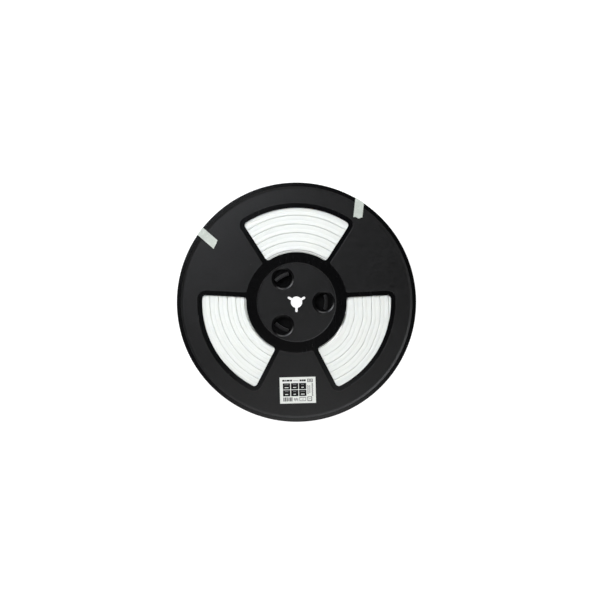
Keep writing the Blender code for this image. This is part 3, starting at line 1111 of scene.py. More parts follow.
        tops, bottoms = [], []
        for angle in self.window_angles:
            top, bottom = shell.wall(self.window().turned(angle), wall_between(
                Rest(self.ledge_z, 1.0, 0.35 * MM, 0.6), Rest(self.channel_z, 1.0, 0.2 * MM)))
            tops.append(top)
            bottoms.append(bottom)
        # The smooth ring's inner edge is fully lightened, as a painted highlight along it.
        hub_edge, hub_rim = shell.wall(Outline.circle(self.ring_inner, self.sides), wall_between(
            Rest(self.ledge_z, 1.0, 0.9 * MM, 1.0), Rest(self.hub_z, -1.0, 0.25 * MM)), Skin.TEXTURED)
        shell.flat((floor, hub_edge, *tops), Skin.SMOOTH)

        step_out = self.ring_inner + self.barrel_wall
        barrel_in = self.barrel_radius - self.barrel_wall
        barrel, back_rim = shell.lathe((
            Corner(self.barrel_radius + 0.5 * MM, self.channel_z),
            Corner(self.barrel_radius, self.channel_z, 0.4 * MM),
            Corner(self.barrel_radius, 0.0, 0.2 * MM),
            Corner(barrel_in, 0.0, 0.2 * MM),
            Corner(barrel_in, self.ring_back_z, 0.4 * MM),
            Corner(step_out, self.ring_back_z, 0.3 * MM),
            Corner(step_out, self.hub_back_z, 0.3 * MM),
            Corner(step_out - 0.5 * MM, self.hub_back_z),
        ), self.sides)
        shell.flat((channel, barrel, *bottoms), Skin.SMOOTH)
        return hub_rim, back_rim

    def hub(self, face_rim: Ring, back_rim: Ring) -> None:
        """Hub disc with its keyed arbor hole, boss, catch wells and arms.

        Args:
            face_rim: The ring that bounds its face.
            back_rim: The ring that bounds its back.
        """
        shell = self.shell
        boss_top, boss_end = shell.wall(Outline.circle(self.boss_radius, self.hub_sides), wall_between(
            Rest(self.hub_back_z, 1.0, 0.4 * MM), Rest(0.0, -1.0, 0.2 * MM)))
        arbor_end, arbor_top = shell.wall(self.arbor(), wall_between(
            Rest(0.0, 1.0, 0.15 * MM), Rest(self.hub_z, 1.0, 0.3 * MM, 0.5)))
        shell.flat((boss_end, arbor_end), Skin.SMOOTH)

        mouths, roots = [], [boss_top]
        for angle in self.well_angles:
            mouth, root = self.well(angle)
            mouths.append(mouth)
            roots += [root, self.arm(angle + 180.0)]
        shell.flat((face_rim, arbor_top, *mouths), Skin.TEXTURED)
        shell.flat((back_rim, *roots), Skin.SMOOTH)

    def well(self, angle: float) -> tuple[Ring, Ring]:
        """Catch well: chamfered mouth, wall, lip with its opening, and the tube round it.

        Args:
            angle: Where it stands on its circle.

        Returns:
            The ring of its mouth in the hub disc, and that of its tube's root behind the disc.
        """
        shell = self.shell
        centre = polar(self.well_circle, angle)
        width, depth = self.well_chamfer
        lip, mouth = shell.wall(Outline.circle(self.well_radius, self.hub_sides, centre), rounded((
            Corner(-0.2 * MM, self.lip_z),
            Corner(0.0, self.lip_z, 0.2 * MM),
            Corner(0.0, self.hub_z - depth, 0.35 * MM),
            Corner(width, self.hub_z, 0.45 * MM, 0.4),
            Corner(width + 0.5 * MM, self.hub_z),
        )))
        under, over = shell.wall(self.well_opening().turned(angle), wall_between(
            Rest(self.foot_z, 1.0, 0.12 * MM), Rest(self.lip_z, 1.0, 0.12 * MM)))
        tube = Outline.circle(self.well_radius + self.well_wall, self.hub_sides, centre)
        root, foot = shell.wall(tube, wall_between(
            Rest(self.hub_back_z, 1.0, 0.4 * MM), Rest(self.foot_z, -1.0, 0.3 * MM)))
        shell.flat((lip, over), Skin.SMOOTH)
        shell.flat((foot, under), Skin.SMOOTH)
        return mouth, root

    def arm(self, angle: float) -> Ring:
        """Latch arm with its barb, standing on the back of the hub disc.

        Args:
            angle: Where it stands on its circle.

        Returns:
            The ring of its root.
        """
        shell = self.shell
        outer = self.arm_inner + self.arm_thickness
        barb = outer + self.barb_reach
        easing = self.tip_easing
        rows = (
            (outer, 0.4 * MM, self.hub_back_z),
            (outer, 0.1 * MM, self.hub_back_z - 0.1 * MM),
            (outer, 0.0, self.hub_back_z - 0.4 * MM),
            (outer, 0.0, self.barb_z),
            (barb, 0.0, self.barb_z - 0.02 * MM),
            (barb, 0.0, self.barb_z - self.barb_edge),
            (outer, 0.0, self.tip_z + easing),
            (outer, -0.3 * easing, self.tip_z + 0.3 * easing),
            (outer, -easing, self.tip_z),
        )
        # The whole arm is fully lightened, as painted light that brightens it in its well.
        rings = [shell.ring(self.arm_outline(reach).turned(angle).grown(out), z, 1.0)
                 for reach, out, z in rows]
        shell.band(rings, Skin.TEXTURED)
        shell.flat((rings[-1],), Skin.TEXTURED)
        return rings[0]

    def build(self, facing: Facing, name: str, node: str) -> bpy.types.Object:
        """Make the half and turn it to its side of the reel.

        Args:
            facing: Which way its outer face looks.
            name: The piece's name.
            node: The CAD node that it stands for.

        Returns:
            The dressed piece.
        """
        self.hub(*self.flange())
        mesh = self.shell.mesh(name)
        points = np.empty(len(mesh.vertices) * 3)
        mesh.vertices.foreach_get("co", points)
        points = points.reshape(-1, 3) * (facing.value, 1.0, facing.value)
        points[:, 2] += joint_height()
        mesh.vertices.foreach_set("co", points.ravel())
        mesh.update()
        dress(mesh, [REEL_FINISHES[skin] for skin in Skin])
        return fit(even_shading(place(name, mesh), HARD_EDGE), node)


def fit(piece: bpy.types.Object, node: str) -> bpy.types.Object:
    """Tie a finished piece to the frame.

    Args:
        piece: The piece, in place.
        node: The CAD node that it stands for.

    Returns:
        The piece.
    """
    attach(piece, "root")
    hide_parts(node)
    log.info("%s: %d faces", piece.name, len(piece.data.polygons))
    return piece


# Winding


@dataclass(frozen=True)
class Lay:
    """How the flex lies on the barrel, as Geometry Nodes.

    Going clockwise, the first turn climbs over its own start and the end of the lead, and every
    later turn repeats that climb. Elsewhere the turns run level.
    """

    pitch: float = 12.0 * MM
    datum_angle: float = 59.0
    datum_radius: float = 59.7 * MM
    climb: tuple[tuple[float, float], ...] = (
        (59.0, 0.0), (35.0, 0.27), (10.0, 0.59), (-1.0, 0.65), (-7.0, 0.73), (-14.0, 0.88),
        (-25.0, 0.95), (-40.0, 1.09), (-61.0, 0.985), (-121.0, 0.865), (-169.0, 0.955),
        (-200.0, 0.995), (-241.0, 1.0), (-301.0, 1.0))

    def turns_from_datum(self, angle: float) -> float:
        """Clockwise turns from the datum to an angle."""
        return (self.datum_angle - angle) / 360.0

    def tree(self) -> bpy.types.NodeTree:
        """Node group that gives the radius of the flex's inner face after some clockwise turns.

        Returns:
            The group's tree, made once.
        """
        known = bpy.data.node_groups.get("winding_lay")
        if known:
            return known
        w, take, give = new_group("winding_lay", {"Turns": "Float"}, {"Radius": "Float"}, "GeometryNodeTree")
        turns = take["Turns"]
        whole = w.math("FLOOR", turns)
        curve = w.add("ShaderNodeFloatCurve", {"Value": w.math("SUBTRACT", turns, whole)})
        curve.mapping.clip_max_y = 1.5
        points = curve.mapping.curves[0].points
        for _ in self.climb[2:]:
            points.new(0.5, 0.5)
        for point, (angle, share) in zip(points, self.climb):
            point.location = (self.turns_from_datum(angle), share)
        curve.mapping.update()
        grown = w.math("ADD", whole, curve.outputs[0])
        w.feed(give["Radius"], w.math("MULTIPLY_ADD", grown, self.pitch, self.datum_radius))
        return w.tree


@dataclass(frozen=True)
class Sweep:
    """Where a wound piece runs, and how finely it is made.

    Its middle lies out from the lay's radius, held between the least and the most radius, and at
    the level. Over the end length it is scaled, and pull draws it inward soon after its start.
    """

    start_angle: float
    turns: float
    out: float
    level: float
    steps: int
    end_length: float
    end_scale: float
    least: float = 0.0
    most: float = 1.0
    pull: float = 0.0


class WindingTree:
    """Geometry Nodes tree that sweeps a closed section along the winding, with thicker ends.

    Between two shares of its run, the piece is pulled inward, off the turn that it lies against.
    """

    PULLED_FROM = (0.036, 0.046)
    PULLED_TO = (0.068, 0.082)
    INPUTS = {
        "Geometry": "Geometry", "Start Turns": "Float", "Turns": "Float", "Out": "Float", "Level": "Float",
        "Least Radius": "Float", "Most Radius": "Float", "Steps": "Int", "End Length": "Float",
        "End Scale": "Float", "Pull": "Float", "Material": "Material",
    }

    def __init__(self, lay: Lay) -> None:
        """Build the tree for a lay."""
        self.lay = lay
        self.tree = self._build()

    def _build(self) -> bpy.types.NodeTree:
        """Wire the path, the sweep and the ends.

        Returns:
            The tree.
        """
        w, take, give = new_group("wound_sweep", self.INPUTS, {"Geometry": "Geometry"}, "GeometryNodeTree")
        section = w.add("GeometryNodeMeshToCurve", {"Mesh": take["Geometry"]}).outputs["Curve"]
        line = w.add("GeometryNodeCurvePrimitiveLine").outputs["Curve"]
        path = w.add("GeometryNodeResampleCurve", {"Curve": line, "Count": take["Steps"]}).outputs["Curve"]
        share = w.add("GeometryNodeSplineParameter").outputs["Factor"]
        turns = w.math("MULTIPLY_ADD", share, take["Turns"], take["Start Turns"])
        lay = w.tree.nodes.new("GeometryNodeGroup")
        lay.node_tree = self.lay.tree()
        w.feed(lay.inputs["Turns"], turns)
        radius = w.math("ADD", lay.outputs["Radius"], take["Out"])
        radius = w.math("MINIMUM", w.math("MAXIMUM", radius, take["Least Radius"]), take["Most Radius"])
        angle = w.math("SUBTRACT", math.radians(self.lay.datum_angle), w.math("MULTIPLY", turns, math.tau))
        pulled = w.math("MULTIPLY", w.span(share, *self.PULLED_FROM),
                        w.span(share, *self.PULLED_TO, 1.0, 0.0))
        radius = w.math("SUBTRACT", radius, w.math("MULTIPLY", pulled, take["Pull"]))
        point = w.add("ShaderNodeCombineXYZ", {
            "X": w.math("MULTIPLY", radius, w.math("COSINE", angle)),
            "Y": w.math("MULTIPLY", radius, w.math("SINE", angle)),
            "Z": take["Level"]}).outputs["Vector"]
        path = w.add("GeometryNodeSetPosition", {"Geometry": path, "Position": point}).outputs["Geometry"]
        path = w.add("GeometryNodeSetCurveNormal", {"Curve": path}, mode="Z_UP").outputs["Curve"]
        length = w.add("GeometryNodeCurveLength", {"Curve": path}).outputs["Length"]
        join = w.add("GeometryNodeJoinGeometry")
        for start, end in ((None, None), (0.0, take["End Length"]),
                           (w.math("SUBTRACT", length, take["End Length"]), length)):
            run, size = path, 1.0
            if start is not None:
                trim = w.add("GeometryNodeTrimCurve", {"Curve": path, 4: start, 5: end}, mode="LENGTH")
                run, size = trim.outputs["Curve"], take["End Scale"]
            sweep = w.add("GeometryNodeCurveToMesh", {
                "Curve": run, "Profile Curve": section, "Scale": size, "Fill Caps": True})
            w.feed(join.inputs["Geometry"], sweep.outputs["Mesh"])
        soft = w.add("GeometryNodeSetShadeSmooth", {"Geometry": join.outputs["Geometry"]}).outputs["Geometry"]
        real = w.add("GeometryNodeRealizeInstances", {"Geometry": soft}).outputs["Geometry"]
        dressed = w.add("GeometryNodeSetMaterial", {"Geometry": real, "Material": take["Material"]})
        w.feed(give["Geometry"], dressed.outputs["Geometry"])
        return w.tree

    def sweep(self, name: str, section: np.ndarray, run: Sweep,
              material: bpy.types.Material) -> bpy.types.Object:
        """Sweep a section.

        Args:
            name: The piece's name.
            section: Points of the section, outward and up, counter-clockwise.
            run: Where it goes.
            material: What it is made of.

        Returns:
            The piece as a plain mesh.
        """
        count = len(section)
        mesh = bpy.data.meshes.new(name)
        mesh.from_pydata([(-out, -up, 0.0) for out, up in section],
                         [(i, (i + 1) % count) for i in range(count)], [])
        item = place(name, mesh)
        modifier = item.modifiers.new("winding", "NODES")
        modifier.node_group = self.tree
        values = {
            "Start Turns": self.lay.turns_from_datum(run.start_angle), "Turns": run.turns, "Out": run.out,
            "Level": run.level, "Least Radius": run.least, "Most Radius": run.most, "Steps": run.steps,
            "End Length": run.end_length, "End Scale": run.end_scale, "Pull": run.pull, "Material": material,
        }
        for socket in self.tree.interface.items_tree:
            if socket.item_type == "SOCKET" and socket.in_out == "INPUT" and socket.name in values:
                modifier[socket.identifier] = values[socket.name]
        return applied(item)


@dataclass
class WoundFlex:
    """Seven turns of square silicone flex, wound clockwise from the barrel outward."""

    width: float = 12.0 * MM
    height: float = 11.78 * MM
    base_corner: float = 0.4 * MM
    dome_corner: float = 1.8 * MM
    groove_depth: float = 0.55 * MM
    groove_half: float = 0.45 * MM
    corner_steps: int = 6
    start_angle: float = 10.0
    end_angle: float = 50.0
    turns: int = 7
    steps_per_turn: int = 180
    cap_length: float = 9.0 * MM
    cap_scale: float = 1.02
    finish: MilkySilicone = field(default_factory=MilkySilicone)

    def section(self) -> np.ndarray:
        """Section with the rounder, light-giving face inward and a groove along each side.

        Returns:
            Its points, outward and up, counter-clockwise.
        """
        half_w, half_h = self.width / 2, self.height / 2
        points: list[np.ndarray] = []
        groove = ((1.0, 0.0), (0.4, 0.85), (0.0, 1.0), (-0.4, 0.85), (-1.0, 0.0))
        for sign, radii in ((1.0, (self.base_corner, self.dome_corner)),
                            (-1.0, (self.dome_corner, self.base_corner))):
            first, last = (np.array((sign * side * (half_h - radius), sign * (half_w - radius)))
                           for side, radius in zip((1.0, -1.0), radii))
            turn = 0.0 if sign > 0 else 180.0
            points += list(arc(first, radii[0], turn, turn + 90.0, self.corner_steps))
            points += [np.array((sign * out * self.groove_half, sign * (half_w - deep * self.groove_depth)))
                       for out, deep in groove]
            points += list(arc(last, radii[1], turn + 90.0, turn + 180.0, self.corner_steps))
        return np.array(points)

    def build(self, tree: WindingTree) -> bpy.types.Object:
        """Wind the flex between the flanges.

        Args:
            tree: What winds it.

        Returns:
            The dressed piece.
        """
        low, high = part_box("neon_flex_coil")
        travel = self.turns - (self.end_angle - self.start_angle) / 360.0
        run = Sweep(self.start_angle, travel, out=self.height / 2, level=(low.z + high.z) / 2,
                    steps=round(travel * self.steps_per_turn),
                    end_length=self.cap_length, end_scale=self.cap_scale)
        piece = tree.sweep("wound_neon_flex", self.section(), run, self.finish.material())
        return fit(even_shading(piece, SOFT_EDGE), "neon_flex_coil")


@dataclass
class LeadCable:
    """White two-core lead that runs round the barrel inside the first turn, with its sleeve."""

    radius: float = 1.7 * MM
    start_angle: float = -13.0
    end_angle: float = 10.5
    least: float = 68.3 * MM
    most: float = 69.2 * MM
    room: float = 0.3 * MM
    top_drop: float = 1.2 * MM
    sleeve_length: float = 13.0 * MM
    sleeve_scale: float = 1.12
    pull: float = 0.7 * MM
    sides: int = 20
    steps: int = 420
    finish: CableJacket = field(default_factory=CableJacket)

    def build(self, tree: WindingTree) -> bpy.types.Object:
        """Lay the lead against the first turn.

        Args:
            tree: What winds it.

        Returns:
            The dressed piece.
        """
        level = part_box("neon_flex_coil")[1].z - self.top_drop - self.radius
        travel = 1.0 - (self.end_angle - self.start_angle) / 360.0
        run = Sweep(self.start_angle, travel, out=-self.radius - self.room, level=level,
                    steps=self.steps, end_length=self.sleeve_length, end_scale=self.sleeve_scale,
                    least=self.least, most=self.most, pull=self.pull)
        section = Outline.circle(self.radius, self.sides).points
        piece = tree.sweep("lead_cable", section, run, self.finish.material())
        return fit(even_shading(piece, SOFT_EDGE), "lead_wire")


# Tape and label


@dataclass
class PaperTape:
    """Strip of masking tape folded over the reel's edge, torn at its ends.

    Its middle line meets the reel's edge at the crossing angle and leaves the reel along the bearing.
    """

    name: str
    node: str
    crossing: float
    bearing: float
    front: float
    back: float
    cut_slant: float
    tear: float
    seed: int
    width: float = 12.4 * MM
    thickness: float = 0.17 * MM
    lift: float = 0.03 * MM
    reel_radius: float = 165.3 * MM
    rim_stop: float = 159.0 * MM
    ramp_run: float = 5.0 * MM
    rim_z: float = 10.4 * MM
    face_z: float = 8.8 * MM
    fold_reaches: tuple[float, ...] = (1.5 * MM, 1.2 * MM, 0.7 * MM, 0.7 * MM, 1.2 * MM, 1.5 * MM)
    fold_steps: int = 7
    ragged: float = 0.10 * MM
    wrinkle: float = 0.05 * MM
    wrinkles: int = 9
    columns: int = 28
    rows: int = 150
    finish: CrepedPaper = field(default_factory=CrepedPaper)

    def reach(self, point: np.ndarray, along: np.ndarray, radius: float) -> float:
        """Distance along a line from a plan point to where it leaves a circle about the axis."""
        half = float(point @ along)
        return -half + math.sqrt(half ** 2 - float(point @ point) + radius ** 2)

    def face_path(self, edge: np.ndarray, inward: np.ndarray,
                  length: float) -> list[tuple[np.ndarray, float]]:
        """Corner points of the tape's path over one flange, from the reel's edge inward.

        Args:
            edge: Plan point where the line crosses the reel's edge.
            inward: Its plan direction.
            length: How far in it runs.

        Returns:
            Each plan point with its rise.
        """
        full = self.reach(edge, -inward, self.reel_radius)
        path = []
        for radius, rise in ((self.rim_stop, self.rim_z - self.face_z), (self.rim_stop - self.ramp_run, 0.0)):
            path.append((edge + inward * (full - self.reach(edge, -inward, radius)), rise))
        path.append((edge + inward * length, 0.0))
        return path

    def centre_line(self, offset: float, torn: tuple[float, float]) -> np.ndarray:
        """One lengthwise line of the strip.

        Args:
            offset: How far across from the strip's middle.
            torn: What the tears add to its front and back lengths there.

        Returns:
            Its corner points, front end to back end.
        """
        outward = polar(1.0, self.bearing)
        across = np.array((-outward[1], outward[0]))
        line = polar(self.reel_radius, self.crossing) + across * offset
        edge = line + outward * self.reach(line, outward, self.reel_radius)
        angle = heading(edge)
        slant = math.radians(self.bearing - angle)
        turn = math.degrees(2 * self.rim_z * math.tan(slant) / self.reel_radius)
        back_edge = polar(self.reel_radius, angle + turn)
        back_in = -polar(1.0, angle + turn - math.degrees(slant))
        front = self.front + float((edge - line) @ outward) + self.cut_slant * offset + torn[0]
        middle, face, rim = joint_height(), self.face_z + self.lift, self.rim_z + self.lift
        points = [(*plan, middle + face + rise)
                  for plan, rise in reversed(self.face_path(edge, -outward, front))]
        points += [(*edge, middle + rim), (*back_edge, middle - rim)]
        points += [(*plan, middle - face - rise)
                   for plan, rise in self.face_path(back_edge, back_in, self.back + torn[1])]
        return np.array(points)

    def eased(self, corners: np.ndarray) -> np.ndarray:
        """Evenly spaced points along a line whose corners are rounded off.

        Args:
            corners: The line's corner points, both ends included.

        Returns:
            As many points as the strip has rows.
        """
        line = [corners[0]]
        for before, here, after, reach in zip(corners, corners[1:], corners[2:], self.fold_reaches):
            a, b = towards(here, before, reach), towards(here, after, reach)
            line += [bend(a, here, b, t) for t in np.linspace(0, 1, self.fold_steps)]
        line.append(corners[-1])
        path = np.array(line)
        travel = np.concatenate(((0.0,), np.cumsum(np.linalg.norm(np.diff(path, axis=0), axis=1))))
        wanted = np.linspace(0.0, travel[-1], self.rows)
        return np.column_stack([np.interp(wanted, travel, path[:, axis]) for axis in range(3)])

    def build(self) -> bpy.types.Object:
        """Fold the strip over the reel's edge.

        Returns:
            The dressed piece.
        """
        draw = np.random.default_rng(self.seed)
        offsets = np.linspace(-self.width / 2, self.width / 2, self.columns)
        tears = self.torn_edge(draw, offsets), self.torn_edge(draw, offsets)
        under = np.array([self.eased(self.centre_line(offset, (front, back)))
                          for offset, front, back in zip(offsets, *tears)])
        along = np.gradient(under, axis=1)
        over = np.gradient(under, axis=0)
        normal = np.cross(over, along)
        normal /= np.linalg.norm(normal, axis=2, keepdims=True)
        if normal[0, 0, 2] < 0:
            normal = -normal
        waves = self.waves(draw)
        skin = under + normal * (self.thickness + waves[:, :, None])
        return fit(self.solid(under, skin, offsets), self.node)

    def torn_edge(self, draw: np.random.Generator, offsets: np.ndarray) -> np.ndarray:
        """Length that a ragged tear adds at each offset.

        Args:
            draw: Source of random numbers.
            offsets: How far across each point is.

        Returns:
            The added lengths.
        """
        share = offsets / self.width
        ragged = draw.normal(0.0, self.ragged, len(offsets))
        bulge = np.cos(share * math.tau * 1.3 + draw.uniform(0.0, 1.0)) * self.tear
        return bulge + ragged

    def waves(self, draw: np.random.Generator) -> np.ndarray:
        """Low wrinkles over the strip, flat at its edges.

        Args:
            draw: Source of random numbers.

        Returns:
            Heights, by column and row.
        """
        i = np.linspace(0.0, 1.0, self.columns)[:, None]
        j = np.linspace(0.0, 1.0, self.rows)[None, :]
        total = np.zeros((self.columns, self.rows))
        for _ in range(self.wrinkles):
            phase, lean = draw.uniform(0.0, math.tau), draw.uniform(-3.0, 3.0)
            total += np.sin(draw.uniform(60.0, 170.0) * j + lean * i + phase)
        return self.wrinkle * total / self.wrinkles * np.sin(math.pi * np.clip(i, 0.02, 0.98))

    def solid(self, under: np.ndarray, skin: np.ndarray, offsets: np.ndarray) -> bpy.types.Object:
        """Close the strip between its under side and its skin, with its own map.

        Args:
            under: Points of the under side, by column and row.
            skin: Points of the skin.
            offsets: How far across each column is.

        Returns:
            The strip as a plain mesh.
        """
        count = self.columns * self.rows
        index = np.arange(count).reshape(self.columns, self.rows)
        faces = []
        for i in range(self.columns - 1):
            for j in range(self.rows - 1):
                a, b, c, d = index[i, j], index[i + 1, j], index[i + 1, j + 1], index[i, j + 1]
                faces += [(a, b, c, d), (a + count, d + count, c + count, b + count)]
        border = [index[i, 0] for i in range(self.columns)]
        border += [index[-1, j] for j in range(1, self.rows)]
        border += [index[i, -1] for i in range(self.columns - 2, -1, -1)]
        border += [index[0, j] for j in range(self.rows - 2, 0, -1)]
        for a, b in zip(border, border[1:] + border[:1]):
            faces.append((a, a + count, b + count, b))
        mesh = bpy.data.meshes.new(self.name)
        points = np.concatenate((under.reshape(-1, 3), skin.reshape(-1, 3)))
        mesh.from_pydata(points.tolist(), [], [tuple(int(k) for k in face) for face in faces])
        bm = bmesh.new()
        bm.from_mesh(mesh)
        bmesh.ops.recalc_face_normals(bm, faces=bm.faces)
        bm.to_mesh(mesh)
        bm.free()
        mesh.shade_smooth()
        travel = np.cumsum(np.linalg.norm(np.diff(under, axis=1, prepend=under[:, :1]), axis=2), axis=1)
        own = np.stack((travel, np.broadcast_to(offsets[:, None], travel.shape)), axis=2).reshape(-1, 2)
        layer = mesh.uv_layers.new(name=self.finish.strip_map)
        for loop in mesh.loops:
            layer.uv[loop.index].vector = own[loop.vertex_index % count]
        dress(mesh, [self.finish])
        return even_shading(place(self.name, mesh), SOFT_EDGE)


@dataclass(frozen=True)
class Mark:
    """Printed block on the label: its left and top, its size and its ink."""

    x: float
    y: float
    width: float
    height: float
    ink: Ink = Ink.BLACK

    def holds(self, x: float, y: float) -> bool:
        """Whether a point lies in the block."""
        return self.x < x < self.x + self.width and self.y < y < self.y + self.height


@dataclass
class PaperLabel:
    """White label with a plain generic print of blocks and bars. Marks are in millimetres."""

    name: str = "stock_label"
    length: float = 49.5 * MM
    height: float = 36.1 * MM
    thickness: float = 0.13 * MM
    lift: float = 0.02 * MM
    centre: tuple[float, float] = (1.8 * MM, -121.3 * MM)
    turn: float = 1.4
    block: tuple[float, float] = (10.0, 8.6)
    frame_line: float = 0.8

    def heading_row(self) -> list[Mark]:
        """Bars that stand for the top row of print.

        Returns:
            The marks.
        """
        marks = [Mark(x, 3.5, width, height) for x, width, height in (
            (3.7, 3.3, 2.3), (7.6, 1.5, 2.3), (9.6, 4.2, 2.3), (14.3, 2.9, 2.3),
            (27.6, 2.2, 2.5), (30.2, 2.0, 2.5), (32.6, 3.4, 2.5))]
        return marks + [Mark(18.8 + 1.5 * i, 4.3, 0.9, 1.2, Ink.GREY) for i in range(5)]

    def frames(self) -> list[Mark]:
        """Small hollow frames at the upper right and in the foot row, each with a bar inside.

        Returns:
            The marks.
        """
        marks, line = [], self.frame_line
        for outer in (Mark(38.2, 2.7, 3.3, 4.4), Mark(42.3, 2.7, 3.3, 4.4),
                      Mark(26.8, 27.9, 9.2, 5.2, Ink.GREY), Mark(37.9, 27.2, 6.2, 6.2)):
            x, y, width, height = outer.x, outer.y, outer.width, outer.height
            marks += [outer, Mark(x + line, y + line, width - 2 * line, height - 2 * line, Ink.BARE),
                      Mark(x + 0.3 * width, y + 0.45 * height, 0.4 * width, 0.12 * height, outer.ink)]
        return marks

    def blocks(self) -> list[Mark]:
        """Two rows of three black blocks with pale bars in them.

        Returns:
            The marks.
        """
        marks, (width, height) = [], self.block
        for row, y in enumerate((8.3, 17.7)):
            for column, x in enumerate((4.3, 15.5, 26.5)):
                inset = 2.0 + 0.5 * ((row + column) % 3)
                marks += [Mark(x, y, width, height),
                          Mark(x + inset, y + 1.5, width - 2 * inset, 1.0, Ink.GREY),
                          Mark(x + inset + 0.4, y + 5.4, width - 0.8 - 2 * inset, 1.1, Ink.BARE)]
        return marks

    def side_columns(self) -> list[Mark]:
        """Upright strips of short bars at the right.

        Returns:
            The marks.
        """
        marks = [Mark(37.9, 11.4 + 1.25 * i, 1.5 + 0.5 * (i % 2), 0.8, Ink.GREY) for i in range(10)]
        marks += [Mark(40.5, 12.0 + 1.55 * i, 1.6, 0.95, Ink.GREY) for i in range(7)]
        marks += [Mark(43.9 + 0.3 * (i % 3 == 1), 8.4 + 1.02 * i, 1.8, 0.75, Ink.GREY) for i in range(18)]
        return marks

    def foot_row(self) -> list[Mark]:
        """Upright bars at the lower left.

        Returns:
            The marks.
        """
        marks, x = [], 4.6
        for width in (0.9, 0.5, 1.3, 0.5, 0.9, 0.5, 0.5, 1.3, 0.9, 0.5):
            marks.append(Mark(x, 27.7, width, 5.6))
            x += width + 0.55
        return marks + [Mark(19.2 + 1.6 * i, 28.6 + 0.7 * (i % 2), 1.0, 3.6, Ink.GREY) for i in range(4)]

    def printed(self, marks: Sequence[Mark]) -> bmesh.types.BMesh:
        """Cut the label's face along its print, and close it with sides and a back.

        Args:
            marks: The print, in which later marks lie over earlier ones.

        Returns:
            The label about its own centre, its back at 0.
        """
        columns = sorted({0.0, self.length / MM} | {round(m.x + w, 3) for m in marks for w in (0.0, m.width)})
        rows = sorted({0.0, self.height / MM} | {round(m.y + h, 3) for m in marks for h in (0.0, m.height)})
        bm = bmesh.new()
        top = [[bm.verts.new((x * MM - self.length / 2, self.height / 2 - y * MM, self.thickness))
                for x in columns] for y in rows]
        for j, (y, y_next) in enumerate(zip(rows, rows[1:])):
            for i, (x, x_next) in enumerate(zip(columns, columns[1:])):
                face = bm.faces.new((top[j][i], top[j + 1][i], top[j + 1][i + 1], top[j][i + 1]))
                middle = (x + x_next) / 2, (y + y_next) / 2
                ink = next((mark.ink for mark in reversed(marks) if mark.holds(*middle)), Ink.BARE)
                face.material_index = ink.value
        border = top[0][:-1] + [line[-1] for line in top[:-1]]
        border += top[-1][:0:-1] + [line[0] for line in top[:0:-1]]
        lower = [bm.verts.new((v.co.x, v.co.y, 0.0)) for v in border]
        for i in range(len(border)):
            bm.faces.new((border[i - 1], border[i], lower[i], lower[i - 1]))
        bm.faces.new(lower)
        bmesh.ops.recalc_face_normals(bm, faces=bm.faces)
        return bm

    def build(self) -> bpy.types.Object:
        """Stick the label on the flange.

        Returns:
            The dressed piece.
        """
        bm = self.printed(self.heading_row() + self.frames() + self.blocks() + self.side_columns()
                          + self.foot_row())
        mesh = bpy.data.meshes.new(self.name)
        bm.to_mesh(mesh)
        bm.free()
        c, s = polar(1.0, self.turn)
        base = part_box("paper_label")[0].z + self.lift
        for vert in mesh.vertices:
            x, y, z = vert.co
            vert.co = (self.centre[0] + x * c - y * s, self.centre[1] + x * s + y * c, base + z)
        dress(mesh, [LABEL_FINISHES[ink] for ink in Ink])
        return fit(place(self.name, mesh), "paper_label")


# Studio


@dataclass(frozen=True)
class SoftBox:
    """Square soft light that looks at the reel."""

    name: str
    azimuth: float
    elevation: float
    distance: float
    size: float
    watts: float
    colour: Colour = (1.0, 1.0, 1.0)

    def build(self) -> None:
        """Hang the light."""
        light = bpy.data.lights.new(self.name, "AREA")
        light.size = self.size
        light.energy = self.watts
        light.color = self.colour
        item = bpy.data.objects.new(self.name, light)
        plan = polar(self.distance * math.cos(math.radians(self.elevation)), self.azimuth)
        item.location = (*plan, self.distance * math.sin(math.radians(self.elevation)))
        item.rotation_euler = (-Vector(item.location)).to_track_quat("-Z", "Y").to_euler()
        bpy.context.scene.collection.objects.link(item)


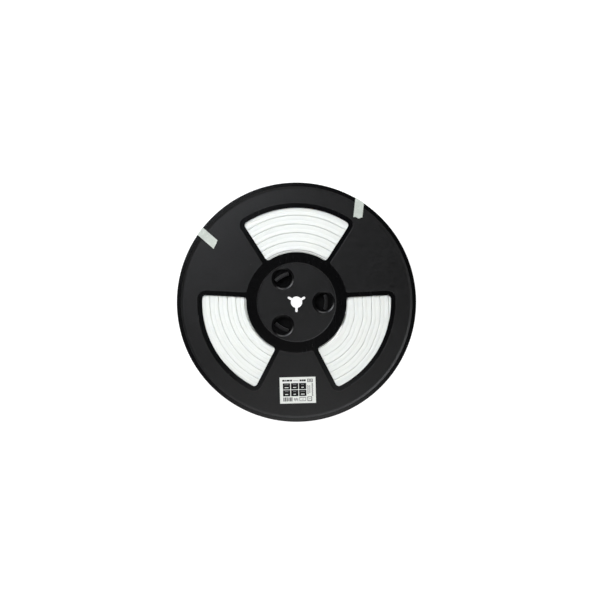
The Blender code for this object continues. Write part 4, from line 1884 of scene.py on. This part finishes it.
@dataclass
class Studio:
    """Pale floor, soft lights and the camera straight above, as in the photograph."""

    picture_width: float = 600.0
    metres_per_pixel: float = 1.3778 * MM
    axis_pixel: tuple[float, float] = (296.47, 302.17)
    camera_distance: float = 2.5
    sensor: float = 36.0
    rim_top: float = 21.05 * MM
    floor_size: float = 30.0
    floor_grey: float = 0.3
    floor_roughness: float = 0.9
    floor_glow: float = 0.98
    horizon_glow: float = 1.15
    zenith_glow: float = 0.004
    glow_ends: tuple[float, float] = (0.32, 0.46)
    lights: tuple[SoftBox, ...] = (
        SoftBox("upper_key", azimuth=80.0, elevation=48.0, distance=8.0, size=4.0, watts=205.0),
        SoftBox("left_key", azimuth=148.0, elevation=48.0, distance=8.0, size=4.0, watts=220.0),
        SoftBox("near_upper_left", azimuth=130.0, elevation=53.0, distance=0.63, size=0.3, watts=1.4,
                colour=(0.95, 0.98, 1.05)),
        SoftBox("near_lower", azimuth=274.0, elevation=61.0, distance=0.63, size=0.3, watts=0.65),
    )

    def camera(self) -> None:
        """Look straight down with a long lens."""
        data = bpy.data.cameras.new("camera")
        data.sensor_width = self.sensor
        data.lens = self.sensor * self.camera_distance / (self.picture_width * self.metres_per_pixel)
        data.clip_end = 100.0
        item = bpy.data.objects.new("camera", data)
        half = self.picture_width / 2
        item.location = ((half - self.axis_pixel[0]) * self.metres_per_pixel,
                         (self.axis_pixel[1] - half) * self.metres_per_pixel,
                         self.rim_top + self.camera_distance)
        bpy.context.scene.collection.objects.link(item)
        bpy.context.scene.camera = item

    def floor(self) -> None:
        """Lay a plain white floor that glows a little, as a light table does."""
        half = self.floor_size / 2
        mesh = bpy.data.meshes.new("floor")
        mesh.from_pydata([(-half, -half, 0.0), (half, -half, 0.0), (half, half, 0.0), (-half, half, 0.0)],
                         [], [(0, 1, 2, 3)])
        material = bpy.data.materials.new("white_floor")
        material.use_nodes = True
        shader = material.node_tree.nodes["Principled BSDF"]
        shader.inputs["Base Color"].default_value = (*(self.floor_grey,) * 3, 1.0)
        shader.inputs["Roughness"].default_value = self.floor_roughness
        shader.inputs["Specular IOR Level"].default_value = 0.0
        shader.inputs["Emission Color"].default_value = (1.0, 1.0, 1.0, 1.0)
        shader.inputs["Emission Strength"].default_value = self.floor_glow
        mesh.materials.append(material)
        place("floor", mesh)

    def world(self) -> None:
        """Pale surroundings that are dark straight above, where flat faces reflect the camera."""
        world = bpy.data.worlds.new("studio")
        world.use_nodes = True
        w = Wiring(world.node_tree)
        shader = world.node_tree.nodes["Background"]
        up = w.add("ShaderNodeSeparateXYZ", {
            "Vector": w.add("ShaderNodeTexCoord").outputs["Generated"]}).outputs["Z"]
        w.feed(shader.inputs["Strength"], w.span(up, *self.glow_ends, self.horizon_glow, self.zenith_glow))
        shader.inputs["Color"].default_value = (1.0, 1.0, 1.0, 1.0)
        bpy.context.scene.world = world

    def build(self) -> None:
        """Set the scene round the reel."""
        self.camera()
        self.floor()
        self.world()
        for light in self.lights:
            light.build()
        bpy.context.scene.view_settings.view_transform = "Standard"


def main() -> None:
    """Build the studio and every piece of the reel."""
    Studio().build()
    ReelHalf().build(Facing.FRONT, "front_reel_half", "reel_half_front")
    ReelHalf().build(Facing.BACK, "back_reel_half", "reel_half_back")
    winding = WindingTree(Lay())
    WoundFlex().build(winding)
    LeadCable().build(winding)
    PaperTape("left_paper_tape", "tape_strip_left", crossing=143.6, bearing=139.0, front=28.6 * MM,
              back=26.0 * MM, cut_slant=0.28, tear=0.15 * MM, seed=3).build()
    PaperTape("right_paper_tape", "tape_strip_right", crossing=58.2, bearing=84.0, front=24.2 * MM,
              back=27.0 * MM, cut_slant=0.0, tear=0.8 * MM, seed=8).build()
    PaperLabel().build()


if __name__ == "__main__":
    main()
